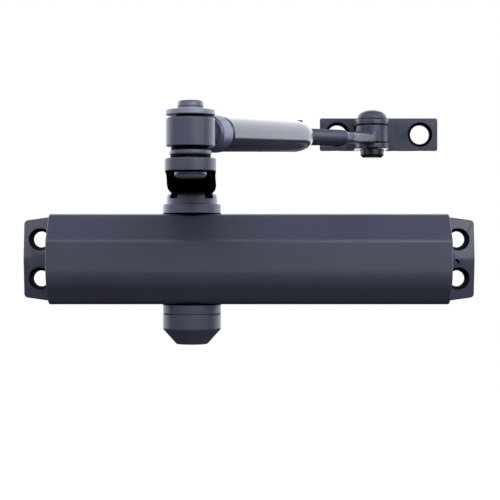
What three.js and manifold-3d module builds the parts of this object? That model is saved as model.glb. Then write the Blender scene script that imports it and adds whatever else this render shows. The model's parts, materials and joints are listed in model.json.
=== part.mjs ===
// Surface-mounted hydraulic door closer with a rack and pinion, a folding arm and a frame shoe.
// Millimetres, +Z up. The origin is the middle of the body's flat back face, which lies on the
// door or frame at Y = 0. The front of the closer faces -Y and the main arm points that way.

import * as THREE from "three";
import { mergeVertices } from "three/addons/utils/BufferGeometryUtils.js";
import Module from "manifold-3d";

const wasm = await Module();
wasm.setup();

// ---------------------------------------------------------------- driving dimensions

// Clearances.
const FIT_GAP = 0.3; // between pieces that fit in or over each other
const RUN_GAP = 0.2; // between flat faces that turn on each other
const REACH_PAST = 5; // how far a large cutting shape runs past the face it cuts
const OVERRUN = 1; // how far a small cut or a joined piece runs past the face it meets

// Body: an eight-sided section with the front corners cut at 45 degrees.
const BODY_LENGTH = 188;
const BODY_HEIGHT = 42.6;
const BODY_DEPTH = 46;
const FRONT_FACET_HEIGHT = 16.1;
const SHOULDER_RADIUS = 8; // where a sloping facet meets the top or bottom
const FACET_EDGE_RADIUS = 2; // where a sloping facet meets the front facet
const BACK_EDGE_RADIUS = 1;
const BORE_RADIUS = 17;
const BORE_CENTRE_Y = -22;

// Fixing lugs at both ends.
const LUG_REACH = 15.5;
const LUG_THICKNESS = 8.4;
const LUG_EDGE_THICKNESS = 7; // the lug's front falls away towards its top and bottom
const LUG_ROOT_HEIGHT = 41.7;
const LUG_TIP_HEIGHT = 37.3;
const LUG_CORNER_RADIUS = 2;
const FIXING_PITCH_X = 203.2;
const FIXING_PITCH_Z = 19.05;
const FIXING_HOLE_RADIUS = 3.9;
const FIXING_SINK_RADIUS = 5.5;
const FIXING_SINK_DEPTH = 1.5;
const LUG_PIT_HALF_WIDTH = 1;
const LUG_PIT_DEPTH = 1;

// Pinion, its bearings and the nuts that hold them.
const PINION_X = -27.2;
const GEAR_MODULE = 1.6;
const GEAR_TEETH = 10;
const GEAR_ADDENDUM = 1.36;
const GEAR_DEDENDUM = 2;
const PRESSURE_ANGLE = Math.PI / 6;
const TOOTH_THINNING = 0.15; // taken off each tooth's thickness for backlash
const GEAR_FACE = 17;
const JOURNAL_RADIUS = 7;
const BEARING_RADIUS = 11.7;
const BEARING_LENGTH = 5.6;
const NUT_SPIGOT_LENGTH = 1.8;
const NUT_FLANGE_RADIUS = 13.85;
const NUT_FLANGE_HEIGHT = 4.8;
const NUT_HUB_RADIUS = 12.05;
const NUT_HUB_HEIGHT = 4.8;
const NUT_HUB_CHAMFER = 0.8;
const NUT_NOTCH_WIDTH = 5;
const NUT_NOTCH_DEPTH = 1.8;
const NUT_NOTCH_HEIGHT = 2.3;
const SEAL_RADIUS = 9.2;
const SEAL_HEIGHT = 2.2;
const SHAFT_CHAMFER = 0.4;
const SHAFT_SQUARE = 9.5;
const SHAFT_SQUARE_CORNER = 1;
const LOWER_SQUARE_LENGTH = 8;
const ARM_SCREW_HOLE_RADIUS = 2.7;
const ARM_SCREW_HOLE_DEPTH = 15;

// Dust cap over the pinion's lower end.
const CAP_WALL = 1.8;
const CAP_STRAIGHT = 7.1;
const CAP_CONE_HEIGHT = 7.3;
const CAP_TIP_RADIUS = 7.3;
const CAP_TIP_CHAMFER = 0.8;
const CAP_LIP_HEIGHT = 2;

// Piston and rack.
const PISTON_LEFT = -80;
const PISTON_LENGTH = 80;
const SHAFT_TURN = (170 * Math.PI) / 180; // the pinion's full turn, which sets the piston's travel
const WINDOW_MARGIN = 0.7; // between the window's ends and the bearings at the ends of travel
const WINDOW_BACK_Y = -11.4;
const PISTON_CHAMFER = 0.6;
const RACK_SINK = 0.5; // how far a rack tooth is sunk into the piston
const RACK_FACE = 17.4;
const PISTON_RING_WIDTH = 2.6;
const PISTON_RING_DEPTH = 2;
const PISTON_RING_INSET = 6; // from the piston's end to the middle of its ring
const CHECK_BALL_RADIUS = 2.5;
const CHECK_SEAT_RADIUS = 1.5;
const CHECK_POCKET_DEPTH = 9;
const CHECK_RETAINER_LENGTH = 2.5;

// Main spring, its seat and the power-adjusting screw.
const SPRING_TO_PILOT = 0.8; // between the coils and the pilots that they sit on
const SPRING_PILOT_LENGTH = 6;
const SPRING_WIRE_RADIUS = 2.2;
const SPRING_TO_BORE = 2; // between the coils and the bore
const SPRING_TURNS = 7.5;
const SPRING_SEAT_X = 70;
const SPRING_SEAT_THICKNESS = 5;
const SPRING_SEAT_CHAMFER = 0.5;
const SPRING_PILOT_CHAMFER = 0.8;
const POWER_SCREW_RADIUS = 4;
const POWER_SCREW_LEFT = 56;
const POWER_HEAD_RADIUS = 6.4;
const POWER_HEAD_LENGTH = 5;
const POWER_CLIP_WIDTH = 1.5;
const POWER_SCREW_CHAMFER = 0.5;
const POWER_SOCKET = 5; // across flats
const POWER_SOCKET_DEPTH = 3;

// End plugs.
const PLUG_LENGTH = 12;
const PLUG_SOCKET = 12; // across flats
const PLUG_SOCKET_DEPTH = 6;
const PLUG_RING_TUBE = 0.8;

// Regulating valve screws in the body's ends.
const VALVE_RADIUS = 1.9;
const VALVE_LENGTH = 14;
const VALVE_TIP = 3;
const VALVE_HOLE_DEPTH = 15;
const VALVE_WALL = 1.6; // between a valve hole and the bore
const VALVE_SPREAD = (18.5 * Math.PI) / 180; // above and below the bore's level
const VALVE_SLOT = 0.8;
const VALVE_SLOT_DEPTH = 1;
const VALVE_RING_TUBE = 0.3;
const VALVE_GROOVE_FROM_END = 4;

// Main arm.
const ARM_LENGTH = 185;
const ARM_ANGLE = (-88 * Math.PI) / 180;
const ARM_THICKNESS = 4.8;
const ARM_HUB_HALF_WIDTH = 10.2;
const ARM_BELLY_HALF_WIDTH = 10.8;
const ARM_BELLY_AT = 54;
const ARM_MID_HALF_WIDTH = 10.35;
const ARM_ELBOW_RADIUS = 9.15;
const ARM_HUB_RISE = 5.2; // the hub's boss above the bar
const ARM_HUB_FOOT_CHAMFER = 0.3;
const ARM_HUB_TOP_CHAMFER = 0.8;
const ARM_EDGE_BEVEL = 0.5;
const ARM_WASHER_RADIUS = 6.6;
const ARM_WASHER_HEIGHT = 1.2;
const ARM_SCREW_HEAD_RADIUS = 5.2;
const ARM_SCREW_HEAD_HEIGHT = 4.2;
const ARM_SCREW_CHAMFER = 0.6;
const ARM_SCREW_TO_FLOOR = 2; // between the screw's foot and its hole's floor
const ARM_SOCKET = 5; // across flats
const ARM_SOCKET_DEPTH = 2.5;

// Elbow stack, bottom to top.
const ELBOW_PIN_RADIUS = 4;
const ELBOW_FOOT_RADIUS = 5.7;
const ELBOW_FOOT_HEIGHT = 2;
const ELBOW_FOOT_CHAMFER = 0.8;
const LOWER_WASHER = { radius: 7.2, height: 1.1 };
const SPACER_RING = { radius: 7.45, height: 1.8 };
const UPPER_WASHER = { radius: 6.9, height: 1.1 };
const KNUCKLE_RADIUS = 8.7;
const KNUCKLE_HEIGHT = 10.2;
const KNUCKLE_CHAMFER = 0.7;
const NECK_WASHER = { radius: 5.2, height: 0.7 };
const CUP_WASHER = { radius: 8.7, height: 1.7, boss: 4.9, rise: 1 };
const ELBOW_SCREW_RADIUS = 2;
const ELBOW_SCREW_LENGTH = 14;
const ELBOW_HEAD_RADIUS = 4.65;
const ELBOW_HEAD_HEIGHT = 2.6;

// Forearm: knuckle neck, lock collar, tube and the adjusting rod. Lengths run from the elbow.
const FOREARM_REACH = 205;
const FOREARM_RISE = (3.5 * Math.PI) / 180;
const FOREARM_AXIS_ABOVE_KNUCKLE = 4.7;
const NECK_RADIUS = 4.5;
const STUD_RADIUS = 4;
const STUD_END = 44;
const COLLAR_START = 13.1;
const COLLAR_RADIUS = 6.9;
const COLLAR_LENGTH = 10.1;
const COLLAR_CHAMFER = 0.6;
const TUBE_RADIUS = 6.7;
const TUBE_TAPER_START = 102;
const TUBE_END = 112;
const TUBE_END_RADIUS = 4.4;
const TUBE_CHAMFER = 0.8;
const TUBE_BORE_START = 56;
const STUD_TO_HOLE_END = 2; // past the stud's end, inside the tube
const ROD_RADIUS = 3.6;
const ROD_START = 78;
const ROD_CHAMFER = 0.6;
const TONGUE_START = 168;
const TONGUE_WIDTH = 9.6;
const TONGUE_THICKNESS = 4.6;
const TONGUE_ROOT = 3; // how far the tongue starts before the round rod ends
const TONGUE_LAP = 4; // where the rising tongue and the level one by the eye overlap
const SET_SCREW_AT = 107;
const SET_SCREW_RADIUS = 1.5;
const SET_SCREW_CHAMFER = 0.3;
const SET_SCREW_STAND = 0.5; // how far it stands proud of the tube's side

// Frame shoe and its pivot.
const SHOE_STANDOFF = 18; // from the shoe's back to its pivot
const SHOE_LENGTH = 57.6;
const SHOE_PIVOT_FROM_END = 24.4;
const SHOE_HEIGHT = 15.9;
const SHOE_PLATE_THICKNESS = 3.5;
const SHOE_CORNER_RADIUS = 1;
const SHOE_HOLE_RADIUS = 4.65;
const SHOE_SINK_RADIUS = 6;
const SHOE_SINK_DEPTH = 1.4;
const SHOE_HOLE_FROM_END = 8.6;
const EAR_THICKNESS = 2.4;
const EAR_RADIUS = 8;
const EYE_RADIUS = 5.9;
const EYE_HEIGHT = 8.4;
const EYE_CHAMFER = 0.4;
const EYE_BASE_BELOW_AXIS = 2.1; // from the rod's axis at the pivot down to the eye's foot
const BUSH_WALL = 0.9;
const RIVET_RADIUS = 2.9;
const RIVET_DOME_RADIUS = 6.9;
const RIVET_DOME_HEIGHT = 4.5;
const RIVET_FOOT_RADIUS = 5.7;
const RIVET_FOOT_HEIGHT = 4.2;
const RIVET_FOOT_CHAMFER = 1.2;

// Facets round a full circle, for large, middling and small pieces.
const FINE = 36;
const MEDIUM = 24;
const COARSE = 14;

// ---------------------------------------------------------------- finishes

function finish(colour, roughness, metalness) {
  return () => new THREE.MeshStandardMaterial({ color: colour, roughness, metalness });
}

const darkPaint = finish(0x494c5d, 0.42, 0.2);
const blackFinish = finish(0x0d0d12, 0.5, 0.1);
const brightSteel = finish(0xb4b5ba, 0.28, 0.95);
const darkSteel = finish(0x4e5058, 0.35, 0.9);
const castIron = finish(0x5d5b58, 0.6, 0.7);
const sealRubber = finish(0x16161a, 0.8, 0);

// ---------------------------------------------------------------- solids

// A closed three.js geometry as a manifold-3d solid, with its shared corners merged.
function solid(geometry) {
  const bare = geometry.index ? geometry.toNonIndexed() : geometry.clone();
  bare.deleteAttribute("normal");
  bare.deleteAttribute("uv");
  const merged = mergeVertices(bare, 1e-4);
  const kept = [];
  const index = merged.index.array;
  for (let i = 0; i < index.length; i += 3) {
    const [a, b, c] = [index[i], index[i + 1], index[i + 2]];
    if (a !== b && b !== c && c !== a) kept.push(a, b, c);
  }
  return new wasm.Manifold(
    new wasm.Mesh({
      numProp: 3,
      vertProperties: merged.getAttribute("position").array,
      triVerts: new Uint32Array(kept),
    }),
  );
}

// A manifold-3d solid back as a three.js geometry with flat facets.
function geometryOf(body) {
  const mesh = body.getMesh();
  const geometry = new THREE.BufferGeometry();
  geometry.setAttribute("position", new THREE.BufferAttribute(mesh.vertProperties, mesh.numProp));
  geometry.setIndex(new THREE.BufferAttribute(mesh.triVerts, 1));
  const faceted = geometry.toNonIndexed();
  faceted.computeVertexNormals();
  return faceted;
}

const join = (first, ...rest) => rest.reduce((sum, next) => sum.add(next), first);
const cut = (first, ...tools) => tools.reduce((left, tool) => left.subtract(tool), first);

// A box between two corners.
function box(low, high) {
  const size = high.map((value, i) => value - low[i]);
  const geometry = new THREE.BoxGeometry(...size);
  geometry.translate(...low.map((value, i) => value + size[i] / 2));
  return solid(geometry);
}

// Turns a closed or axis-to-axis profile of [radius, height] points about Z or X.
function turned(profile, facets, axis = "z", at = [0, 0, 0]) {
  const points = profile.map(([r, h]) => new THREE.Vector2(r, h));
  const geometry = new THREE.LatheGeometry(points, facets);
  if (axis === "z") geometry.rotateX(Math.PI / 2);
  else geometry.rotateZ(-Math.PI / 2);
  geometry.translate(...at);
  return solid(geometry);
}

// Profile of a plain disc or rod between two heights, with optional chamfers.
function rodProfile(radius, low, high, lowChamfer = 0, highChamfer = 0) {
  const points = [[0, low]];
  if (lowChamfer > 0) points.push([radius - lowChamfer, low]);
  points.push([radius, low + lowChamfer], [radius, high - highChamfer]);
  if (highChamfer > 0) points.push([radius - highChamfer, high]);
  points.push([0, high]);
  return points;
}

// Profile of a ring between two heights.
function ringProfile(inner, outer, low, high) {
  return [
    [inner, low],
    [outer, low],
    [outer, high],
    [inner, high],
    [inner, low],
  ];
}

// Profile of a spherical-cap head that stands on a flat foot.
function domeProfile(radius, low, high, steps = 6) {
  const rise = high - low;
  const sphere = (radius * radius + rise * rise) / (2 * rise);
  const span = Math.asin(Math.min(1, radius / sphere));
  const arc = Array.from({ length: steps }, (_, i) => {
    const angle = span * (1 - i / steps);
    return [sphere * Math.sin(angle), high - sphere * (1 - Math.cos(angle))];
  });
  return [[0, low], ...arc, [0, high]];
}

// An outline with rounded corners: each corner is [x, y, radius], anticlockwise.
function roundedShape(corners, steps = 5) {
  const shape = new THREE.Shape();
  corners.forEach(([x, y, radius], i) => {
    const here = new THREE.Vector2(x, y);
    if (radius === 0) {
      if (i === 0) shape.moveTo(x, y);
      else shape.lineTo(x, y);
      return;
    }
    const count = corners.length;
    const before = new THREE.Vector2(...corners[(i + count - 1) % count]).sub(here).normalize();
    const after = new THREE.Vector2(...corners[(i + 1) % count]).sub(here).normalize();
    const half = Math.acos(THREE.MathUtils.clamp(before.dot(after), -1, 1)) / 2;
    const middle = before.clone().add(after).normalize();
    const centre = here.clone().addScaledVector(middle, radius / Math.sin(half));
    const start = here.clone().addScaledVector(before, radius / Math.tan(half)).sub(centre);
    const end = here.clone().addScaledVector(after, radius / Math.tan(half)).sub(centre);
    const sweep = Math.atan2(start.cross(end), start.dot(end));
    for (let k = 0; k <= steps; k += 1) {
      const angle = start.angle() + (sweep * k) / steps;
      const point = new THREE.Vector2(Math.cos(angle), Math.sin(angle)).multiplyScalar(radius).add(centre);
      if (i === 0 && k === 0) shape.moveTo(point.x, point.y);
      else shape.lineTo(point.x, point.y);
    }
  });
  shape.closePath();
  return shape;
}

const AXES = {
  // The shape's x and y lie along these, and its depth along the third.
  x: [new THREE.Vector3(0, 1, 0), new THREE.Vector3(0, 0, 1), new THREE.Vector3(1, 0, 0)],
  y: [new THREE.Vector3(1, 0, 0), new THREE.Vector3(0, 0, 1), new THREE.Vector3(0, -1, 0)],
  z: [new THREE.Vector3(1, 0, 0), new THREE.Vector3(0, 1, 0), new THREE.Vector3(0, 0, 1)],
};

// Pushes a flat shape along an axis from one place to another; along y it runs forward, to -Y.
function pushed(shape, axis, from, length, bevel = 0) {
  const geometry = new THREE.ExtrudeGeometry(shape, {
    depth: length - 2 * bevel,
    curveSegments: 8,
    bevelEnabled: bevel > 0,
    bevelThickness: bevel,
    bevelSize: bevel,
    bevelOffset: -bevel,
    bevelSegments: 1,
  });
  geometry.translate(0, 0, bevel);
  geometry.applyMatrix4(new THREE.Matrix4().makeBasis(...AXES[axis]));
  const place = { x: [from, 0, 0], y: [0, from, 0], z: [0, 0, from] }[axis];
  geometry.translate(...place);
  return solid(geometry);
}

// A regular hexagon's outline, by its width across flats, about a centre.
function hexagon(acrossFlats, x, y) {
  const radius = acrossFlats / Math.sqrt(3);
  const corners = Array.from({ length: 6 }, (_, i) => {
    const angle = (i * Math.PI) / 3;
    return [x + radius * Math.cos(angle), y + radius * Math.sin(angle), 0];
  });
  return roundedShape(corners);
}

// A ring of round section about the X axis.
function ringAboutX(radius, tube, at, facets = MEDIUM) {
  const geometry = new THREE.TorusGeometry(radius, tube, 8, facets);
  geometry.rotateY(Math.PI / 2);
  geometry.translate(...at);
  return solid(geometry);
}

// ---------------------------------------------------------------- places shared by the pieces

const BODY_TOP = BODY_HEIGHT / 2;
const BODY_END = BODY_LENGTH / 2;
const BODY_FRONT = -BODY_DEPTH;
const AXIS = [PINION_X, BORE_CENTRE_Y, 0];
const BORE_AXIS = [0, BORE_CENTRE_Y, 0];

const BEARING_HOLE_RADIUS = BEARING_RADIUS + FIT_GAP;
const SPIGOT_END = BODY_TOP - NUT_SPIGOT_LENGTH;
const BEARING_OUTER_END = SPIGOT_END - FIT_GAP;
const BEARING_INNER_END = BEARING_OUTER_END - BEARING_LENGTH;
const NUT_TOP = BODY_TOP + NUT_FLANGE_HEIGHT + NUT_HUB_HEIGHT;
const ARM_SEAT_Z = NUT_TOP + FIT_GAP;
const ARM_BOTTOM_Z = ARM_SEAT_Z + RUN_GAP;
const ARM_TOP_Z = ARM_BOTTOM_Z + ARM_THICKNESS;
const ARM_HUB_TOP = ARM_TOP_Z + ARM_HUB_RISE;
const CAP_TOP = -(BODY_TOP + NUT_FLANGE_HEIGHT);
const CAP_EDGE = CAP_TOP - CAP_STRAIGHT;
const CAP_TIP = CAP_EDGE - CAP_CONE_HEIGHT;

const PISTON_RADIUS = BORE_RADIUS - FIT_GAP;
const COIL_RADIUS = BORE_RADIUS - SPRING_TO_BORE - SPRING_WIRE_RADIUS; // to the wire's middle
const SPRING_PILOT_RADIUS = COIL_RADIUS - SPRING_WIRE_RADIUS - SPRING_TO_PILOT;
const PISTON_RIGHT = PISTON_LEFT + PISTON_LENGTH;
const PITCH_RADIUS = (GEAR_MODULE * GEAR_TEETH) / 2;
const RACK_PITCH_Y = BORE_CENTRE_Y - PITCH_RADIUS;
const TOOTH_PITCH = Math.PI * GEAR_MODULE;
const PISTON_TRAVEL = PITCH_RADIUS * SHAFT_TURN;
const WINDOW_RIGHT = PINION_X + BEARING_RADIUS + WINDOW_MARGIN;
const WINDOW_LEFT = PINION_X - PISTON_TRAVEL - BEARING_RADIUS - WINDOW_MARGIN;

const STACK = [LOWER_WASHER, SPACER_RING, UPPER_WASHER];
const KNUCKLE_BOTTOM = STACK.reduce((z, piece) => z + piece.height, ARM_TOP_Z) + RUN_GAP;
const KNUCKLE_TOP = KNUCKLE_BOTTOM + KNUCKLE_HEIGHT;
const NECK_WASHER_Z = KNUCKLE_TOP + RUN_GAP;
const CUP_WASHER_Z = NECK_WASHER_Z + NECK_WASHER.height;
const ELBOW_HEAD_Z = CUP_WASHER_Z + CUP_WASHER.height + CUP_WASHER.rise;
const FOREARM_AXIS_Z = KNUCKLE_BOTTOM + FOREARM_AXIS_ABOVE_KNUCKLE;

const ELBOW = new THREE.Vector2(Math.cos(ARM_ANGLE), Math.sin(ARM_ANGLE))
  .multiplyScalar(ARM_LENGTH)
  .add(new THREE.Vector2(PINION_X, BORE_CENTRE_Y));
// The forearm lies at the angle that brings the shoe's back to the same plane as the body's.
const FOREARM_ANGLE = Math.asin((-SHOE_STANDOFF - ELBOW.y) / FOREARM_REACH);
const SHOE_PIVOT = new THREE.Vector2(Math.cos(FOREARM_ANGLE), Math.sin(FOREARM_ANGLE))
  .multiplyScalar(FOREARM_REACH)
  .add(ELBOW);
const EYE_BOTTOM = FOREARM_AXIS_Z + FOREARM_REACH * Math.tan(FOREARM_RISE) - EYE_BASE_BELOW_AXIS;
const EYE_TOP = EYE_BOTTOM + EYE_HEIGHT;
const SHOE_BOTTOM = EYE_BOTTOM - FIT_GAP - EAR_THICKNESS;
const UPPER_EAR_BOTTOM = EYE_TOP + FIT_GAP;
const UPPER_EAR_TOP = UPPER_EAR_BOTTOM + EAR_THICKNESS;

// ---------------------------------------------------------------- the object

const closer = new THREE.Group();
closer.name = "door_closer";

function add(group, name, body, material) {
  const mesh = new THREE.Mesh(geometryOf(body), material());
  mesh.name = name;
  group.add(mesh);
}

// ---- housing and what closes its bore

const bodyGroup = new THREE.Group();
closer.add(bodyGroup);

// The body's section, with y forward as negative values and z up.
function bodySection() {
  const half = BODY_HEIGHT / 2;
  const facet = FRONT_FACET_HEIGHT / 2;
  const slopeStart = BODY_FRONT + (half - facet);
  return roundedShape([
    [0, -half, BACK_EDGE_RADIUS],
    [0, half, BACK_EDGE_RADIUS],
    [slopeStart, half, SHOULDER_RADIUS],
    [BODY_FRONT, facet, FACET_EDGE_RADIUS],
    [BODY_FRONT, -facet, FACET_EDGE_RADIUS],
    [slopeStart, -half, SHOULDER_RADIUS],
  ]);
}

// A fixing lug in plan, tapering outwards, on the side that the sign gives.
function lug(side) {
  const root = side * (BODY_END - REACH_PAST);
  const tip = side * (BODY_END + LUG_REACH);
  const slope = (LUG_ROOT_HEIGHT - LUG_TIP_HEIGHT) / 2 / LUG_REACH;
  const rootHalf = LUG_ROOT_HEIGHT / 2 + slope * REACH_PAST;
  const tipHalf = LUG_TIP_HEIGHT / 2;
  const corners = [
    [root, -rootHalf, 0],
    [tip, -tipHalf, LUG_CORNER_RADIUS],
    [tip, tipHalf, LUG_CORNER_RADIUS],
    [root, rootHalf, 0],
  ];
  if (side < 0) corners.reverse();
  const plan = pushed(roundedShape(corners), "y", 0, LUG_THICKNESS + REACH_PAST);
  const roof = roundedShape([
    [0, -BODY_TOP, 0],
    [0, BODY_TOP, 0],
    [-LUG_EDGE_THICKNESS, BODY_TOP, 0],
    [-LUG_THICKNESS, 0, 0],
    [-LUG_EDGE_THICKNESS, -BODY_TOP, 0],
  ]);
  const from = side > 0 ? root : tip - REACH_PAST;
  return plan.intersect(pushed(roof, "x", from, LUG_REACH + 2 * REACH_PAST));
}

// A fixing hole along Y with a shallow sink for the screw's head.
function fixingHole(x, z, radius, sinkRadius, frontY, sinkDepth) {
  const hole = new THREE.CylinderGeometry(radius, radius, -frontY + 2 * REACH_PAST, MEDIUM);
  hole.translate(x, frontY / 2, z);
  const sink = new THREE.CylinderGeometry(sinkRadius, sinkRadius, sinkDepth + REACH_PAST, MEDIUM);
  sink.translate(x, frontY + sinkDepth - (sinkDepth + REACH_PAST) / 2, z);
  return join(solid(hole), solid(sink));
}

// The valve screws' places on the body's ends: [side, y, z].
const VALVE_RING_RADIUS = BORE_RADIUS + VALVE_WALL + VALVE_RADIUS + FIT_GAP;
function valvePlace(side, angle) {
  return [
    side,
    BORE_CENTRE_Y - VALVE_RING_RADIUS * Math.cos(angle),
    VALVE_RING_RADIUS * Math.sin(angle),
  ];
}
const VALVES = {
  sweep_valve_screw: valvePlace(-1, VALVE_SPREAD),
  latch_valve_screw: valvePlace(-1, -VALVE_SPREAD),
  backcheck_valve_screw: valvePlace(1, 0),
};

function housing() {
  const blank = join(pushed(bodySection(), "x", -BODY_END, BODY_LENGTH), lug(-1), lug(1));
  // The bore stops at the body's end faces, so that it leaves the lugs whole.
  const bore = turned(rodProfile(BORE_RADIUS, -BODY_END, BODY_END), FINE, "x", BORE_AXIS);
  const shaftReach = BODY_TOP + REACH_PAST;
  const shaftHole = turned(rodProfile(BEARING_HOLE_RADIUS, -shaftReach, shaftReach), FINE, "z", AXIS);
  const fixings = [];
  const lugSlope = (LUG_THICKNESS - LUG_EDGE_THICKNESS) / BODY_TOP;
  for (const side of [-1, 1]) {
    for (const row of [-1, 1]) {
      const z = (row * FIXING_PITCH_Z) / 2;
      const front = -LUG_THICKNESS + lugSlope * Math.abs(z);
      const x = (side * FIXING_PITCH_X) / 2;
      fixings.push(
        fixingHole(x, z, FIXING_HOLE_RADIUS, FIXING_SINK_RADIUS, front, FIXING_SINK_DEPTH),
      );
    }
  }
  const valveHoles = Object.values(VALVES).map(([side, y, z]) => {
    const inner = side * (BODY_END - VALVE_HOLE_DEPTH);
    const outer = side * (BODY_END + REACH_PAST);
    const [low, high] = side > 0 ? [inner, outer] : [outer, inner];
    return turned(rodProfile(VALVE_RADIUS + FIT_GAP, low, high), COARSE, "x", [0, y, z]);
  });
  const pitX = FIXING_PITCH_X / 2;
  const pitFace = -LUG_THICKNESS;
  const pit = box(
    [pitX - LUG_PIT_HALF_WIDTH, pitFace - REACH_PAST, -LUG_PIT_HALF_WIDTH],
    [pitX + LUG_PIT_HALF_WIDTH, pitFace + LUG_PIT_DEPTH, LUG_PIT_HALF_WIDTH],
  );
  return cut(blank, bore, shaftHole, ...fixings, ...valveHoles, pit);
}
add(bodyGroup, "housing", housing(), darkPaint);

// An end plug on the side that the sign gives: a hex socket on the left one, and a stepped hole
// for the power screw on the right one.
const PLUG_RADIUS = BORE_RADIUS - FIT_GAP;
const PLUG_RING_RADIUS = PLUG_RADIUS - PLUG_RING_TUBE;
const PLUG_INNER_X = BODY_END - PLUG_LENGTH;
function endPlug(side) {
  const outer = side * BODY_END;
  const inner = side * PLUG_INNER_X;
  const [low, high] = [Math.min(inner, outer), Math.max(inner, outer)];
  const middle = (low + high) / 2;
  const grooveFloor = PLUG_RING_RADIUS - PLUG_RING_TUBE - FIT_GAP;
  const grooveHalf = PLUG_RING_TUBE + FIT_GAP;
  const groove = ringProfile(grooveFloor, PLUG_RADIUS + OVERRUN, middle - grooveHalf, middle + grooveHalf);
  const blank = cut(
    turned(rodProfile(PLUG_RADIUS, low, high), FINE, "x", BORE_AXIS),
    turned(groove, FINE, "x", BORE_AXIS),
  );
  if (side < 0) {
    const socket = hexagon(PLUG_SOCKET, BORE_CENTRE_Y, 0);
    return cut(blank, pushed(socket, "x", low - OVERRUN, PLUG_SOCKET_DEPTH + OVERRUN));
  }
  const stepX = high - POWER_HEAD_LENGTH - FIT_GAP;
  return cut(
    blank,
    turned(rodProfile(POWER_SCREW_RADIUS + FIT_GAP, low - OVERRUN, high + OVERRUN), MEDIUM, "x", BORE_AXIS),
    turned(rodProfile(POWER_HEAD_RADIUS + FIT_GAP, stepX, high + OVERRUN), MEDIUM, "x", BORE_AXIS),
  );
}
for (const [name, side] of [["left", -1], ["right", 1]]) {
  add(bodyGroup, `${name}_end_plug`, endPlug(side), darkSteel);
  const at = [side * (BODY_END - PLUG_LENGTH / 2), BORE_CENTRE_Y, 0];
  add(bodyGroup, `${name}_plug_o_ring`, ringAboutX(PLUG_RING_RADIUS, PLUG_RING_TUBE, at, FINE), sealRubber);
}

// ---- bearings, nuts and seals about the pinion's axis

const SHAFT_HOLE_RADIUS = JOURNAL_RADIUS + FIT_GAP;
const SEAL_POCKET_RADIUS = SEAL_RADIUS + FIT_GAP;

function bearingNut(topSide) {
  const flangeTop = BODY_TOP + NUT_FLANGE_HEIGHT;
  const sealTop = topSide ? NUT_TOP - FIT_GAP : flangeTop;
  const sealFoot = sealTop - SEAL_HEIGHT;
  const lipTop = topSide ? NUT_TOP : flangeTop + CAP_LIP_HEIGHT;
  const lipRadius = topSide ? NUT_HUB_RADIUS : NUT_FLANGE_RADIUS - CAP_WALL - FIT_GAP;
  const profile = [
    [SHAFT_HOLE_RADIUS, SPIGOT_END],
    [BEARING_RADIUS, SPIGOT_END],
    [BEARING_RADIUS, BODY_TOP],
    [NUT_FLANGE_RADIUS, BODY_TOP],
    [NUT_FLANGE_RADIUS, flangeTop],
    [lipRadius, flangeTop],
    [lipRadius, lipTop - NUT_HUB_CHAMFER],
    [lipRadius - NUT_HUB_CHAMFER, lipTop],
    [SEAL_POCKET_RADIUS, lipTop],
    [SEAL_POCKET_RADIUS, sealFoot],
    [SHAFT_HOLE_RADIUS, sealFoot],
    [SHAFT_HOLE_RADIUS, SPIGOT_END],
  ];
  const blank = turned(profile, FINE, "z");
  if (!topSide) return blank;
  const notches = [0, 1, 2, 3].map((quarter) => {
    const geometry = new THREE.BoxGeometry(2 * NUT_NOTCH_DEPTH, NUT_NOTCH_WIDTH, 2 * NUT_NOTCH_HEIGHT);
    geometry.translate(NUT_HUB_RADIUS, 0, NUT_TOP);
    geometry.rotateZ(Math.PI / 4 + (quarter * Math.PI) / 2);
    return solid(geometry);
  });
  return cut(blank, ...notches);
}

// Pieces drawn for the top side, and turned over about X for the bottom side.
function placedOnShaft(name, body, material, below) {
  const group = new THREE.Group();
  group.position.set(...AXIS);
  if (below) group.rotation.x = Math.PI;
  bodyGroup.add(group);
  add(group, name, body, material);
}
for (const below of [false, true]) {
  const word = below ? "lower" : "upper";
  const bearing = ringProfile(SHAFT_HOLE_RADIUS, BEARING_RADIUS, BEARING_INNER_END, BEARING_OUTER_END);
  placedOnShaft(`${word}_bearing`, turned(bearing, MEDIUM), brightSteel, below);
  placedOnShaft(`${word}_bearing_nut`, bearingNut(!below), darkPaint, below);
  const sealTop = below ? BODY_TOP + NUT_FLANGE_HEIGHT : NUT_TOP - FIT_GAP;
  const seal = ringProfile(SHAFT_HOLE_RADIUS, SEAL_RADIUS, sealTop - SEAL_HEIGHT, sealTop);
  placedOnShaft(`${word}_shaft_seal`, turned(seal, MEDIUM), sealRubber, below);
}

// A cup with a conical foot, open at the top, that snaps over the lower nut's lip.
function dustCap() {
  const inner = NUT_FLANGE_RADIUS - CAP_WALL;
  const tipInner = CAP_TIP_RADIUS - CAP_WALL / 2;
  return turned(
    [
      [0, CAP_TIP],
      [CAP_TIP_RADIUS - CAP_TIP_CHAMFER, CAP_TIP],
      [CAP_TIP_RADIUS, CAP_TIP + CAP_TIP_CHAMFER],
      [NUT_FLANGE_RADIUS, CAP_EDGE],
      [NUT_FLANGE_RADIUS, CAP_TOP],
      [inner, CAP_TOP],
      [inner, CAP_EDGE],
      [tipInner, CAP_TIP + CAP_WALL],
      [0, CAP_TIP + CAP_WALL],
    ],
    FINE,
    "z",
    AXIS,
  );
}
add(bodyGroup, "pinion_dust_cap", dustCap(), darkPaint);

// ---- pinion shaft

// One involute flank's half angle at a radius, measured from the tooth's middle.
function toothHalfAngle(radius) {
  const base = PITCH_RADIUS * Math.cos(PRESSURE_ANGLE);
  const involute = (angle) => Math.tan(angle) - angle;
  const atPitch = (TOOTH_PITCH / 2 - TOOTH_THINNING) / (2 * PITCH_RADIUS);
  const local = Math.acos(Math.min(1, base / Math.max(radius, base)));
  return atPitch + involute(PRESSURE_ANGLE) - involute(local);
}

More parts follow.
